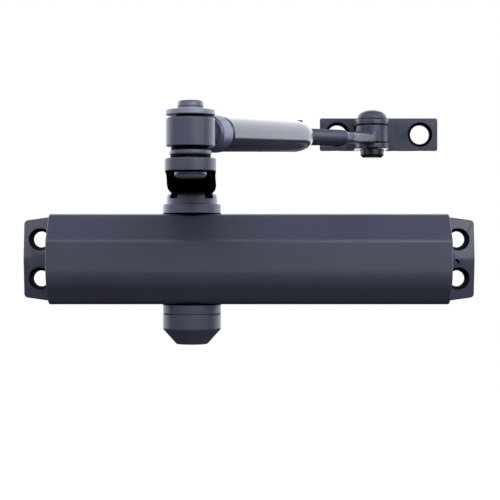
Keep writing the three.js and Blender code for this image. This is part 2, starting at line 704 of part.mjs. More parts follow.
// The gear's outline, with a tooth space on its -Y side.
function gearShape() {
  const root = PITCH_RADIUS - GEAR_DEDENDUM;
  const tip = PITCH_RADIUS + GEAR_ADDENDUM;
  const steps = 5;
  const radii = Array.from({ length: steps + 1 }, (_, i) => root + ((tip - root) * i) / steps);
  const points = [];
  for (let tooth = 0; tooth < GEAR_TEETH; tooth += 1) {
    const middle = -Math.PI / 2 + ((tooth + 0.5) * 2 * Math.PI) / GEAR_TEETH;
    const rising = radii.map((r) => [r, middle - toothHalfAngle(r)]);
    const falling = radii.toReversed().map((r) => [r, middle + toothHalfAngle(r)]);
    for (const [r, angle] of [...rising, ...falling]) {
      points.push(new THREE.Vector2(r * Math.cos(angle), r * Math.sin(angle)));
    }
  }
  return new THREE.Shape(points);
}

function squareShape(size) {
  const half = size / 2;
  const corner = SHAFT_SQUARE_CORNER;
  return roundedShape(
    [
      [-half, -half, corner],
      [half, -half, corner],
      [half, half, corner],
      [-half, half, corner],
    ],
    3,
  );
}

const LOWER_JOURNAL_END = -(BODY_TOP + NUT_FLANGE_HEIGHT);
function pinionShaft() {
  const upperSquare = ARM_HUB_TOP - FIT_GAP - ARM_SEAT_Z;
  const neckEnd = RACK_FACE / 2 + FIT_GAP; // the shaft is necked down between its journals
  const shaft = join(
    turned(rodProfile(JOURNAL_RADIUS, LOWER_JOURNAL_END, -neckEnd, SHAFT_CHAMFER, 0), MEDIUM),
    turned(rodProfile(JOURNAL_RADIUS, neckEnd, ARM_SEAT_Z, 0, SHAFT_CHAMFER), MEDIUM),
    turned(rodProfile(PITCH_RADIUS - GEAR_DEDENDUM, -neckEnd - OVERRUN, neckEnd + OVERRUN), MEDIUM),
    pushed(gearShape(), "z", -GEAR_FACE / 2, GEAR_FACE),
    pushed(squareShape(SHAFT_SQUARE), "z", ARM_SEAT_Z - OVERRUN, upperSquare + OVERRUN),
    pushed(
      squareShape(SHAFT_SQUARE),
      "z",
      LOWER_JOURNAL_END - LOWER_SQUARE_LENGTH,
      LOWER_SQUARE_LENGTH + OVERRUN,
    ),
  );
  const floor = ARM_HUB_TOP - ARM_SCREW_HOLE_DEPTH;
  return cut(shaft, turned(rodProfile(ARM_SCREW_HOLE_RADIUS, floor, ARM_HUB_TOP + OVERRUN), COARSE));
}
const shaftGroup = new THREE.Group();
shaftGroup.position.set(...AXIS);
closer.add(shaftGroup);
add(shaftGroup, "pinion_shaft", pinionShaft(), darkSteel);

// ---- main arm and the screw that holds it on the shaft

const armGroup = new THREE.Group();
armGroup.rotation.z = ARM_ANGLE;
shaftGroup.add(armGroup);

// The bar in plan along +X from the shaft, slightly fuller before its middle.
function armShape() {
  const side = [
    [ARM_BELLY_AT, ARM_BELLY_HALF_WIDTH],
    [ARM_LENGTH / 2, ARM_MID_HALF_WIDTH],
    [ARM_LENGTH, ARM_ELBOW_RADIUS],
  ].map(([x, y]) => new THREE.Vector2(x, y));
  const mirrored = side.map((p) => new THREE.Vector2(p.x, -p.y)).reverse();
  const shape = new THREE.Shape();
  shape.moveTo(0, -ARM_HUB_HALF_WIDTH);
  shape.splineThru(mirrored.toReversed());
  shape.absarc(ARM_LENGTH, 0, ARM_ELBOW_RADIUS, -Math.PI / 2, Math.PI / 2, false);
  shape.splineThru([...side.slice(0, -1).reverse(), new THREE.Vector2(0, ARM_HUB_HALF_WIDTH)]);
  shape.absarc(0, 0, ARM_HUB_HALF_WIDTH, Math.PI / 2, (3 * Math.PI) / 2, false);
  return shape;
}

function mainArm() {
  const boss = rodProfile(
    ARM_HUB_HALF_WIDTH,
    ARM_SEAT_Z,
    ARM_HUB_TOP,
    ARM_HUB_FOOT_CHAMFER,
    ARM_HUB_TOP_CHAMFER,
  );
  const blank = join(
    pushed(armShape(), "z", ARM_BOTTOM_Z, ARM_THICKNESS, ARM_EDGE_BEVEL),
    turned(boss, FINE),
  );
  const square = squareShape(SHAFT_SQUARE + 2 * FIT_GAP);
  const pinHole = rodProfile(ELBOW_PIN_RADIUS + FIT_GAP, ARM_BOTTOM_Z - OVERRUN, ARM_TOP_Z + OVERRUN);
  const squareLow = ARM_SEAT_Z - OVERRUN;
  const geometry = geometryOf(pushed(square, "z", squareLow, ARM_HUB_TOP + OVERRUN - squareLow));
  // The shaft's square stays in line with the body, whichever way the arm points.
  geometry.applyMatrix4(new THREE.Matrix4().makeRotationZ(-ARM_ANGLE));
  return cut(blank, solid(geometry), turned(pinHole, MEDIUM, "z", [ARM_LENGTH, 0, 0]));
}
add(armGroup, "main_arm", mainArm(), darkPaint);

const WASHER_TOP = ARM_HUB_TOP + ARM_WASHER_HEIGHT;
const washerInner = ARM_SCREW_HOLE_RADIUS + FIT_GAP;
const armWasher = ringProfile(washerInner, ARM_WASHER_RADIUS, ARM_HUB_TOP, WASHER_TOP);
add(armGroup, "arm_lock_washer", turned(armWasher, MEDIUM), darkSteel);

function armScrew() {
  const shank = ARM_SCREW_HOLE_RADIUS - FIT_GAP;
  const foot = ARM_HUB_TOP - ARM_SCREW_HOLE_DEPTH + ARM_SCREW_TO_FLOOR;
  const head = WASHER_TOP + ARM_SCREW_HEAD_HEIGHT;
  const body = join(
    turned(rodProfile(shank, foot, WASHER_TOP + OVERRUN), COARSE),
    turned(rodProfile(ARM_SCREW_HEAD_RADIUS, WASHER_TOP, head, 0, ARM_SCREW_CHAMFER), MEDIUM),
  );
  const socket = hexagon(ARM_SOCKET, 0, 0);
  return cut(body, pushed(socket, "z", head - ARM_SOCKET_DEPTH, ARM_SOCKET_DEPTH + OVERRUN));
}
add(armGroup, "arm_screw", armScrew(), darkSteel);

// ---- elbow stack on the main arm's far end

const elbowGroup = new THREE.Group();
elbowGroup.position.x = ARM_LENGTH;
armGroup.add(elbowGroup);

const PIN_SLEEVE = ELBOW_PIN_RADIUS + FIT_GAP;
function elbowPin() {
  const footTop = ARM_BOTTOM_Z - RUN_GAP;
  const shankTop = NECK_WASHER_Z + NECK_WASHER.height;
  const foot = rodProfile(ELBOW_FOOT_RADIUS, footTop - ELBOW_FOOT_HEIGHT, footTop, ELBOW_FOOT_CHAMFER, 0);
  const shank = rodProfile(ELBOW_PIN_RADIUS, footTop - OVERRUN, shankTop);
  const floor = shankTop - ELBOW_SCREW_LENGTH - OVERRUN;
  const hole = rodProfile(ELBOW_SCREW_RADIUS + FIT_GAP, floor, shankTop + OVERRUN);
  return cut(join(turned(foot, MEDIUM), turned(shank, MEDIUM)), turned(hole, COARSE));
}
add(elbowGroup, "elbow_pin", elbowPin(), darkSteel);

const stackNames = ["elbow_lower_washer", "elbow_spacer_ring", "elbow_upper_washer"];
const stackFinishes = [blackFinish, brightSteel, blackFinish];
STACK.reduce((z, piece, i) => {
  const top = z + piece.height;
  add(
    elbowGroup,
    stackNames[i],
    turned(ringProfile(PIN_SLEEVE, piece.radius, z, top), MEDIUM),
    stackFinishes[i],
  );
  return top;
}, ARM_TOP_Z);

const neckWasher = ringProfile(PIN_SLEEVE, NECK_WASHER.radius, NECK_WASHER_Z, CUP_WASHER_Z);
add(elbowGroup, "elbow_neck_washer", turned(neckWasher, MEDIUM), blackFinish);

const screwSleeve = ELBOW_SCREW_RADIUS + FIT_GAP;
const cupWasher = [
  [screwSleeve, CUP_WASHER_Z],
  [CUP_WASHER.radius, CUP_WASHER_Z],
  [CUP_WASHER.radius, CUP_WASHER_Z + CUP_WASHER.height],
  [CUP_WASHER.boss, CUP_WASHER_Z + CUP_WASHER.height],
  [CUP_WASHER.boss, ELBOW_HEAD_Z],
  [screwSleeve, ELBOW_HEAD_Z],
  [screwSleeve, CUP_WASHER_Z],
];
add(elbowGroup, "elbow_cup_washer", turned(cupWasher, MEDIUM), brightSteel);

const elbowScrew = join(
  turned(rodProfile(ELBOW_SCREW_RADIUS, CUP_WASHER_Z - ELBOW_SCREW_LENGTH, ELBOW_HEAD_Z + OVERRUN), COARSE),
  turned(domeProfile(ELBOW_HEAD_RADIUS, ELBOW_HEAD_Z, ELBOW_HEAD_Z + ELBOW_HEAD_HEIGHT), MEDIUM),
);
add(elbowGroup, "elbow_screw", elbowScrew, darkSteel);

// ---- forearm: drawn along +X from the elbow, with its long axis rising

const forearmGroup = new THREE.Group();
forearmGroup.position.set(ELBOW.x, ELBOW.y, 0);
forearmGroup.rotation.z = FOREARM_ANGLE;
closer.add(forearmGroup);

const RISING = new THREE.Matrix4()
  .makeTranslation(0, 0, FOREARM_AXIS_Z)
  .multiply(new THREE.Matrix4().makeRotationY(-FOREARM_RISE));

// Moves a solid drawn along +X onto the forearm's rising axis.
function rising(body) {
  const geometry = geometryOf(body);
  geometry.applyMatrix4(RISING);
  return solid(geometry);
}

function knuckle() {
  const boss = rodProfile(KNUCKLE_RADIUS, KNUCKLE_BOTTOM, KNUCKLE_TOP, KNUCKLE_CHAMFER, KNUCKLE_CHAMFER);
  const neck = join(
    turned(rodProfile(NECK_RADIUS, 0, COLLAR_START), MEDIUM, "x"),
    turned(rodProfile(STUD_RADIUS, OVERRUN, STUD_END), MEDIUM, "x"),
  );
  const hole = rodProfile(PIN_SLEEVE, KNUCKLE_BOTTOM - OVERRUN, KNUCKLE_TOP + OVERRUN);
  return cut(join(turned(boss, FINE), rising(neck)), turned(hole, MEDIUM));
}
add(forearmGroup, "forearm_knuckle", knuckle(), darkPaint);

const STUD_HOLE_RADIUS = STUD_RADIUS + FIT_GAP;
const COLLAR_END = COLLAR_START + COLLAR_LENGTH;
function lockCollar() {
  const start = COLLAR_START + FIT_GAP;
  const outer = rodProfile(COLLAR_RADIUS, start, COLLAR_END, COLLAR_CHAMFER, COLLAR_CHAMFER);
  const hole = rodProfile(STUD_HOLE_RADIUS, start - OVERRUN, COLLAR_END + OVERRUN);
  return cut(turned(outer, MEDIUM, "x"), turned(hole, MEDIUM, "x"));
}
add(forearmGroup, "forearm_lock_collar", rising(lockCollar()), blackFinish);

// The tube's end closes in on the rod along a quarter of an ellipse.
const ROD_HOLE_RADIUS = ROD_RADIUS + FIT_GAP;
function forearmTube() {
  const start = COLLAR_END + FIT_GAP;
  const taper = Array.from({ length: 7 }, (_, i) => {
    const angle = (i / 6) * (Math.PI / 2);
    const x = TUBE_TAPER_START + (TUBE_END - TUBE_TAPER_START) * Math.sin(angle);
    const r = TUBE_END_RADIUS + (TUBE_RADIUS - TUBE_END_RADIUS) * Math.cos(angle);
    return [r, x];
  });
  const outer = [[0, start], [TUBE_RADIUS - TUBE_CHAMFER, start], [TUBE_RADIUS, start + TUBE_CHAMFER]];
  const tube = turned([...outer, ...taper, [0, TUBE_END]], MEDIUM, "x");
  const studHole = rodProfile(STUD_HOLE_RADIUS, start - OVERRUN, STUD_END + STUD_TO_HOLE_END);
  const rodHole = rodProfile(ROD_HOLE_RADIUS, TUBE_BORE_START, TUBE_END + OVERRUN);
  const screwHole = rodProfile(SET_SCREW_RADIUS + FIT_GAP, 0, 2 * TUBE_RADIUS);
  return cut(
    tube,
    turned(studHole, MEDIUM, "x"),
    turned(rodHole, MEDIUM, "x"),
    turned(screwHole, COARSE, "z", [SET_SCREW_AT, 0, 0]),
  );
}
add(forearmGroup, "forearm_tube", rising(forearmTube()), darkPaint);

const setScrewTop = TUBE_RADIUS + SET_SCREW_STAND;
const setScrew = rodProfile(SET_SCREW_RADIUS, ROD_RADIUS + FIT_GAP, setScrewTop, 0, SET_SCREW_CHAMFER);
const setScrewSolid = rising(turned(setScrew, COARSE, "z", [SET_SCREW_AT, 0, 0]));
add(forearmGroup, "tube_set_screw", setScrewSolid, blackFinish);

// The rod ends in a flat tongue with an upright eye round the shoe's pivot.
const BUSH_RADIUS = RIVET_RADIUS + FIT_GAP + BUSH_WALL;
function adjustingRod() {
  const tongueEnd = FOREARM_REACH - EAR_RADIUS - 2 * RUN_GAP;
  const half = TONGUE_WIDTH / 2;
  const thick = TONGUE_THICKNESS / 2;
  const rod = join(
    turned(rodProfile(ROD_RADIUS, ROD_START, TONGUE_START, ROD_CHAMFER, 0), MEDIUM, "x"),
    box([TONGUE_START - TONGUE_ROOT, -half, -thick], [tongueEnd, half, thick]),
  );
  const footZ = EYE_BOTTOM + FIT_GAP;
  const flat = box([tongueEnd - TONGUE_LAP, -half, footZ], [FOREARM_REACH, half, footZ + TONGUE_THICKNESS]);
  const pivot = [FOREARM_REACH, 0, 0];
  const eye = rodProfile(EYE_RADIUS, EYE_BOTTOM, EYE_TOP, EYE_CHAMFER, EYE_CHAMFER);
  const hole = rodProfile(BUSH_RADIUS + FIT_GAP, EYE_BOTTOM - OVERRUN, EYE_TOP + OVERRUN);
  const blank = join(rising(rod), flat, turned(eye, MEDIUM, "z", pivot));
  return cut(blank, turned(hole, MEDIUM, "z", pivot));
}
add(forearmGroup, "adjusting_rod", adjustingRod(), darkSteel);

const bush = ringProfile(RIVET_RADIUS + FIT_GAP, BUSH_RADIUS, EYE_BOTTOM, EYE_TOP);
add(forearmGroup, "shoe_bush", turned(bush, COARSE, "z", [FOREARM_REACH, 0, 0]), brightSteel);

// ---- frame shoe

const shoeGroup = new THREE.Group();
shoeGroup.position.set(SHOE_PIVOT.x, SHOE_PIVOT.y, 0);
closer.add(shoeGroup);

function shoeBracket() {
  const left = -SHOE_PIVOT_FROM_END;
  const right = left + SHOE_LENGTH;
  const top = SHOE_BOTTOM + SHOE_HEIGHT;
  const face = roundedShape(
    [
      [left, SHOE_BOTTOM, SHOE_CORNER_RADIUS],
      [right, SHOE_BOTTOM, SHOE_CORNER_RADIUS],
      [right, top, SHOE_CORNER_RADIUS],
      [left, top, SHOE_CORNER_RADIUS],
    ],
    3,
  );
  const plate = pushed(face, "y", SHOE_STANDOFF, SHOE_PLATE_THICKNESS);
  const front = SHOE_STANDOFF - SHOE_PLATE_THICKNESS;
  const holes = [left + SHOE_HOLE_FROM_END, right - SHOE_HOLE_FROM_END].map((x) => {
    const z = SHOE_BOTTOM + SHOE_HEIGHT / 2;
    const tool = fixingHole(
      x,
      z,
      SHOE_HOLE_RADIUS,
      SHOE_SINK_RADIUS,
      -SHOE_PLATE_THICKNESS,
      SHOE_SINK_DEPTH,
    );
    return tool.translate([0, SHOE_STANDOFF, 0]);
  });
  const earShape = new THREE.Shape();
  earShape.moveTo(EAR_RADIUS, front + OVERRUN);
  earShape.lineTo(-EAR_RADIUS, front + OVERRUN);
  earShape.lineTo(-EAR_RADIUS, 0);
  earShape.absarc(0, 0, EAR_RADIUS, Math.PI, 2 * Math.PI, false);
  const ears = [SHOE_BOTTOM, UPPER_EAR_BOTTOM].map((z) => pushed(earShape, "z", z, EAR_THICKNESS));
  const rivetHole = rodProfile(RIVET_RADIUS + FIT_GAP, SHOE_BOTTOM - OVERRUN, UPPER_EAR_TOP + OVERRUN);
  return cut(join(plate, ...ears), ...holes, turned(rivetHole, MEDIUM));
}
add(shoeGroup, "shoe_bracket", shoeBracket(), darkPaint);

function pivotRivet() {
  const domeFoot = UPPER_EAR_TOP + RUN_GAP;
  const footTop = SHOE_BOTTOM - RUN_GAP;
  const foot = rodProfile(RIVET_FOOT_RADIUS, footTop - RIVET_FOOT_HEIGHT, footTop, RIVET_FOOT_CHAMFER, 0);
  return join(
    turned(rodProfile(RIVET_RADIUS, footTop - OVERRUN, domeFoot + OVERRUN), MEDIUM),
    turned(domeProfile(RIVET_DOME_RADIUS, domeFoot, domeFoot + RIVET_DOME_HEIGHT), MEDIUM),
    turned(foot, MEDIUM),
  );
}
add(shoeGroup, "shoe_pivot_rivet", pivotRivet(), darkPaint);

// ---- piston with its rack

const pistonGroup = new THREE.Group();
pistonGroup.position.y = BORE_CENTRE_Y;
closer.add(pistonGroup);

const RACK_ROOT = RACK_PITCH_Y - BORE_CENTRE_Y - GEAR_DEDENDUM;
const RACK_TIP = RACK_PITCH_Y - BORE_CENTRE_Y + GEAR_ADDENDUM;

// The rack's teeth, one of them centred under the pinion, within the piston's window.
function rackTeeth() {
  const flank = (y) => Math.tan(PRESSURE_ANGLE) * (y - (RACK_PITCH_Y - BORE_CENTRE_Y));
  const halfPitchLine = (TOOTH_PITCH / 2 - TOOTH_THINNING) / 2;
  const tipHalf = halfPitchLine - flank(RACK_TIP);
  const rootHalf = halfPitchLine - flank(RACK_ROOT - RACK_SINK);
  const first = Math.ceil((WINDOW_LEFT + rootHalf - PINION_X) / TOOTH_PITCH);
  const last = Math.floor((WINDOW_RIGHT - rootHalf - PINION_X) / TOOTH_PITCH);
  const teeth = [];
  for (let n = first; n <= last; n += 1) {
    const x = PINION_X + n * TOOTH_PITCH;
    const tooth = roundedShape([
      [x - rootHalf, RACK_ROOT - RACK_SINK, 0],
      [x + rootHalf, RACK_ROOT - RACK_SINK, 0],
      [x + tipHalf, RACK_TIP, 0],
      [x - tipHalf, RACK_TIP, 0],
    ]);
    teeth.push(pushed(tooth, "z", -RACK_FACE / 2, RACK_FACE));
  }
  return teeth;
}

function grooveAt(middle) {
  const half = PISTON_RING_WIDTH / 2 + FIT_GAP;
  const floor = PISTON_RADIUS - PISTON_RING_DEPTH - FIT_GAP;
  return turned(ringProfile(floor, PISTON_RADIUS + OVERRUN, middle - half, middle + half), FINE, "x");
}
const RING_PLACES = {
  left_piston_ring: PISTON_LEFT + PISTON_RING_INSET,
  right_piston_ring: PISTON_RIGHT - PISTON_RING_INSET,
};

const CHECK_POCKET_RADIUS = CHECK_BALL_RADIUS + FIT_GAP;
const CHECK_POCKET_END = PISTON_LEFT + CHECK_POCKET_DEPTH;
function piston() {
  const window = box(
    [WINDOW_LEFT, RACK_ROOT, -BORE_RADIUS],
    [WINDOW_RIGHT, WINDOW_BACK_Y - BORE_CENTRE_Y, BORE_RADIUS],
  );
  const pilotEnd = PISTON_RIGHT + SPRING_PILOT_LENGTH;
  const barrel = rodProfile(PISTON_RADIUS, PISTON_LEFT, PISTON_RIGHT, PISTON_CHAMFER, PISTON_CHAMFER);
  const pilotStart = PISTON_RIGHT - OVERRUN;
  const pilot = rodProfile(SPRING_PILOT_RADIUS, pilotStart, pilotEnd, 0, SPRING_PILOT_CHAMFER);
  const blank = join(turned(barrel, FINE, "x"), turned(pilot, MEDIUM, "x"));
  const pocketProfile = rodProfile(CHECK_POCKET_RADIUS, PISTON_LEFT - OVERRUN, CHECK_POCKET_END);
  const pocket = turned(pocketProfile, COARSE, "x");
  const port = turned(rodProfile(CHECK_SEAT_RADIUS, PISTON_LEFT, WINDOW_LEFT + OVERRUN), COARSE, "x");
  const grooves = Object.values(RING_PLACES).map(grooveAt);
  return join(cut(blank, window, pocket, port, ...grooves), ...rackTeeth());
}
add(pistonGroup, "piston", piston(), castIron);

for (const [name, x] of Object.entries(RING_PLACES)) {
  const half = PISTON_RING_WIDTH / 2;
  const inner = PISTON_RADIUS - PISTON_RING_DEPTH;
  const outer = PISTON_RADIUS + FIT_GAP / 4;
  add(pistonGroup, name, turned(ringProfile(inner, outer, x - half, x + half), FINE, "x"), brightSteel);
}

// The ball rests on its seat, held in by a ring at the pocket's mouth.
const BALL_TO_SEAT = Math.sqrt(CHECK_BALL_RADIUS ** 2 - CHECK_SEAT_RADIUS ** 2);
const ball = new THREE.SphereGeometry(CHECK_BALL_RADIUS, COARSE, 8);
ball.translate(CHECK_POCKET_END - BALL_TO_SEAT - FIT_GAP, 0, 0);
ball.rotateX(Math.PI / 2);
add(pistonGroup, "check_ball", solid(ball), brightSteel);
const retainer = ringProfile(
  CHECK_SEAT_RADIUS,
  CHECK_POCKET_RADIUS - FIT_GAP / 2,
  PISTON_LEFT,
  PISTON_LEFT + CHECK_RETAINER_LENGTH,
);
add(pistonGroup, "check_ball_retainer", turned(retainer, COARSE, "x"), brightSteel);

// ---- main spring, its seat and the power screw

const springGroup = new THREE.Group();
springGroup.position.y = BORE_CENTRE_Y;
closer.add(springGroup);

class Helix extends THREE.Curve {
  constructor(radius, from, to, turns) {
    super();
    Object.assign(this, { radius, from, to, turns });
  }

  getPoint(t, target = new THREE.Vector3()) {
    const angle = t * this.turns * 2 * Math.PI;
    return target.set(
      this.from + (this.to - this.from) * t,
      this.radius * Math.cos(angle),
      this.radius * Math.sin(angle),
    );
  }
}

function mainSpring() {
  const margin = SPRING_WIRE_RADIUS + FIT_GAP;
  const path = new Helix(COIL_RADIUS, PISTON_RIGHT + margin, SPRING_SEAT_X - margin, SPRING_TURNS);
  const wire = new THREE.Shape();
  wire.absarc(0, 0, SPRING_WIRE_RADIUS, 0, 2 * Math.PI, false);
  const steps = Math.round(SPRING_TURNS * COARSE);
  return solid(new THREE.ExtrudeGeometry(wire, { steps, curveSegments: 4, extrudePath: path }));
}
add(springGroup, "main_spring", mainSpring(), darkSteel);

function springSeat() {
  const seatEnd = SPRING_SEAT_X + SPRING_SEAT_THICKNESS;
  const pilotStart = SPRING_SEAT_X - SPRING_PILOT_LENGTH;
  const pilotEnd = SPRING_SEAT_X + OVERRUN;
  const chamfer = SPRING_SEAT_CHAMFER;
  const disc = rodProfile(PISTON_RADIUS, SPRING_SEAT_X, seatEnd, chamfer, chamfer);
  const pilot = rodProfile(SPRING_PILOT_RADIUS, pilotStart, pilotEnd, SPRING_PILOT_CHAMFER, 0);
  const hole = rodProfile(POWER_SCREW_RADIUS + FIT_GAP, pilotStart - OVERRUN, seatEnd + OVERRUN);
  const blank = join(turned(disc, FINE, "x"), turned(pilot, MEDIUM, "x"));
  return cut(blank, turned(hole, MEDIUM, "x"));
}
add(springGroup, "spring_seat", springSeat(), castIron);

function powerScrew() {
  const headEnd = BODY_END;
  const headStart = headEnd - POWER_HEAD_LENGTH;
  const chamfer = POWER_SCREW_CHAMFER;
  const shank = rodProfile(POWER_SCREW_RADIUS, POWER_SCREW_LEFT, headStart + OVERRUN, chamfer, 0);
  const head = rodProfile(POWER_HEAD_RADIUS, headStart, headEnd, 0, chamfer);
  const body = join(turned(shank, MEDIUM, "x"), turned(head, MEDIUM, "x"));
  const socket = hexagon(POWER_SOCKET, 0, 0);
  return cut(body, pushed(socket, "x", headEnd - POWER_SOCKET_DEPTH, POWER_SOCKET_DEPTH + OVERRUN));
}
add(springGroup, "power_adjusting_screw", powerScrew(), darkSteel);

const clipEnd = PLUG_INNER_X - FIT_GAP;
const clip = ringProfile(
  POWER_SCREW_RADIUS + FIT_GAP / 2,
  POWER_HEAD_RADIUS,
  clipEnd - POWER_CLIP_WIDTH,
  clipEnd,
);
add(springGroup, "power_screw_clip", turned(clip, MEDIUM, "x"), brightSteel);

// ---- regulating valve screws, each with a groove and ring

function valveScrew(side) {
  const tip = BODY_END - VALVE_LENGTH;
  const groove = BODY_END - VALVE_GROOVE_FROM_END;
  const grooveHalf = VALVE_RING_TUBE + FIT_GAP / 2;
  const grooveFloor = VALVE_RADIUS - 2 * VALVE_RING_TUBE - FIT_GAP;
  const profile = [
    [0, tip],
    [VALVE_RADIUS, tip + VALVE_TIP],
    [VALVE_RADIUS, groove - grooveHalf],
    [grooveFloor, groove - grooveHalf],
    [grooveFloor, groove + grooveHalf],
    [VALVE_RADIUS, groove + grooveHalf],
    [VALVE_RADIUS, BODY_END],
    [0, BODY_END],
  ];
  const slot = box(
    [BODY_END - VALVE_SLOT_DEPTH, -VALVE_RADIUS - OVERRUN, -VALVE_SLOT / 2],
    [BODY_END + OVERRUN, VALVE_RADIUS + OVERRUN, VALVE_SLOT / 2],
  );
  const screw = cut(turned(profile, COARSE, "x"), slot);
  return side > 0 ? screw : screw.rotate([0, 0, 180]);
}
for (const [name, [side, y, z]] of Object.entries(VALVES)) {
  const group = new THREE.Group();
  group.position.set(0, y, z);
  closer.add(group);
  add(group, name, valveScrew(side), brightSteel);
  const ringRadius = VALVE_RADIUS - VALVE_RING_TUBE;
  const at = [side * (BODY_END - VALVE_GROOVE_FROM_END), 0, 0];
  const ring = ringAboutX(ringRadius, VALVE_RING_TUBE, at, COARSE);
  add(group, name.replace("screw", "o_ring"), ring, sealRubber);
}

export default closer;
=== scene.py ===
"""A surface-mounted hydraulic door closer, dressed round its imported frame.

Every length is written in millimetres and turned to metres when a mesh is made. Places come from
the frame: the joints give the axes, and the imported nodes' boxes give the levels.
"""

import json
import logging
import math
from dataclasses import dataclass, field
from enum import Enum
from typing import Callable, Sequence

import bmesh
import bpy
import numpy as np
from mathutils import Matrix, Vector


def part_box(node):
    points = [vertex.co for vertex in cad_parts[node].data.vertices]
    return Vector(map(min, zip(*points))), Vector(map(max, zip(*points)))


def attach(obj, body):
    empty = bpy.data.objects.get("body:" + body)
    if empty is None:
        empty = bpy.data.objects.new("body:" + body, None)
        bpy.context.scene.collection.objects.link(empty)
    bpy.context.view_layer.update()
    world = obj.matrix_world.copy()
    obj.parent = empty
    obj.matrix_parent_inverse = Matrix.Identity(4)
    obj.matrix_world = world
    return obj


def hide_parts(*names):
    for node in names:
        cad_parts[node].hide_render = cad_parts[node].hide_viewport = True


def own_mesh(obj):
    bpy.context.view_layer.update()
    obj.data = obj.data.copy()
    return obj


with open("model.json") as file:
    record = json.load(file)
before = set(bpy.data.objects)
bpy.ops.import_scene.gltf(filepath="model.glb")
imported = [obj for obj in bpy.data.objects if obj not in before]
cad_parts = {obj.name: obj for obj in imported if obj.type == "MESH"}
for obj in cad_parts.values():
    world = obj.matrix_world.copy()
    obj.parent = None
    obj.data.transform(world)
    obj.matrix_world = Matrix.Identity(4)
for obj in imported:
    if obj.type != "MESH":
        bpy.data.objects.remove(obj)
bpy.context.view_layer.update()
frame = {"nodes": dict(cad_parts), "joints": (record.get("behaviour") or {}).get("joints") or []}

MM = 0.001
LOG = logging.getLogger("door_closer")

Array = np.ndarray
Rule = Callable[[Array, Array, Array], Array]


# ------------------------------------------------------------------ finishes


class Grain(Enum):
    """How a finish's surface was made, which sets the pattern of its bump."""

    SPRAYED = "sprayed"
    TURNED = "turned"
    CAST = "cast"
    MOULDED = "moulded"


def linear(hex_colour: str) -> tuple[float, float, float, float]:
    """Turn an sRGB hex colour to linear light.

    Args:
        hex_colour: six hex digits, such as "464958".

    Returns:
        Red, green, blue and alpha in linear light.
    """
    parts = [int(hex_colour[i : i + 2], 16) / 255 for i in (0, 2, 4)]
    light = [c / 12.92 if c <= 0.04045 else ((c + 0.055) / 1.055) ** 2.4 for c in parts]
    return (*light, 1.0)


def add_node(
    tree: bpy.types.NodeTree,
    kind: str,
    settings: dict | None = None,
    inputs: dict | None = None,
) -> bpy.types.Node:
    """Add one node with its settings, values and links.

    Args:
        tree: the tree that takes the node.
        kind: the node's Blender type.
        settings: attributes set on the node.
        inputs: input name or number to a value, or to an output socket that is linked to it.

    Returns:
        The new node.
    """
    node = tree.nodes.new(kind)
    for name, value in (settings or {}).items():
        setattr(node, name, value)
    for name, value in (inputs or {}).items():
        if isinstance(value, bpy.types.NodeSocket):
            tree.links.new(value, node.inputs[name])
        else:
            node.inputs[name].default_value = value
    return node


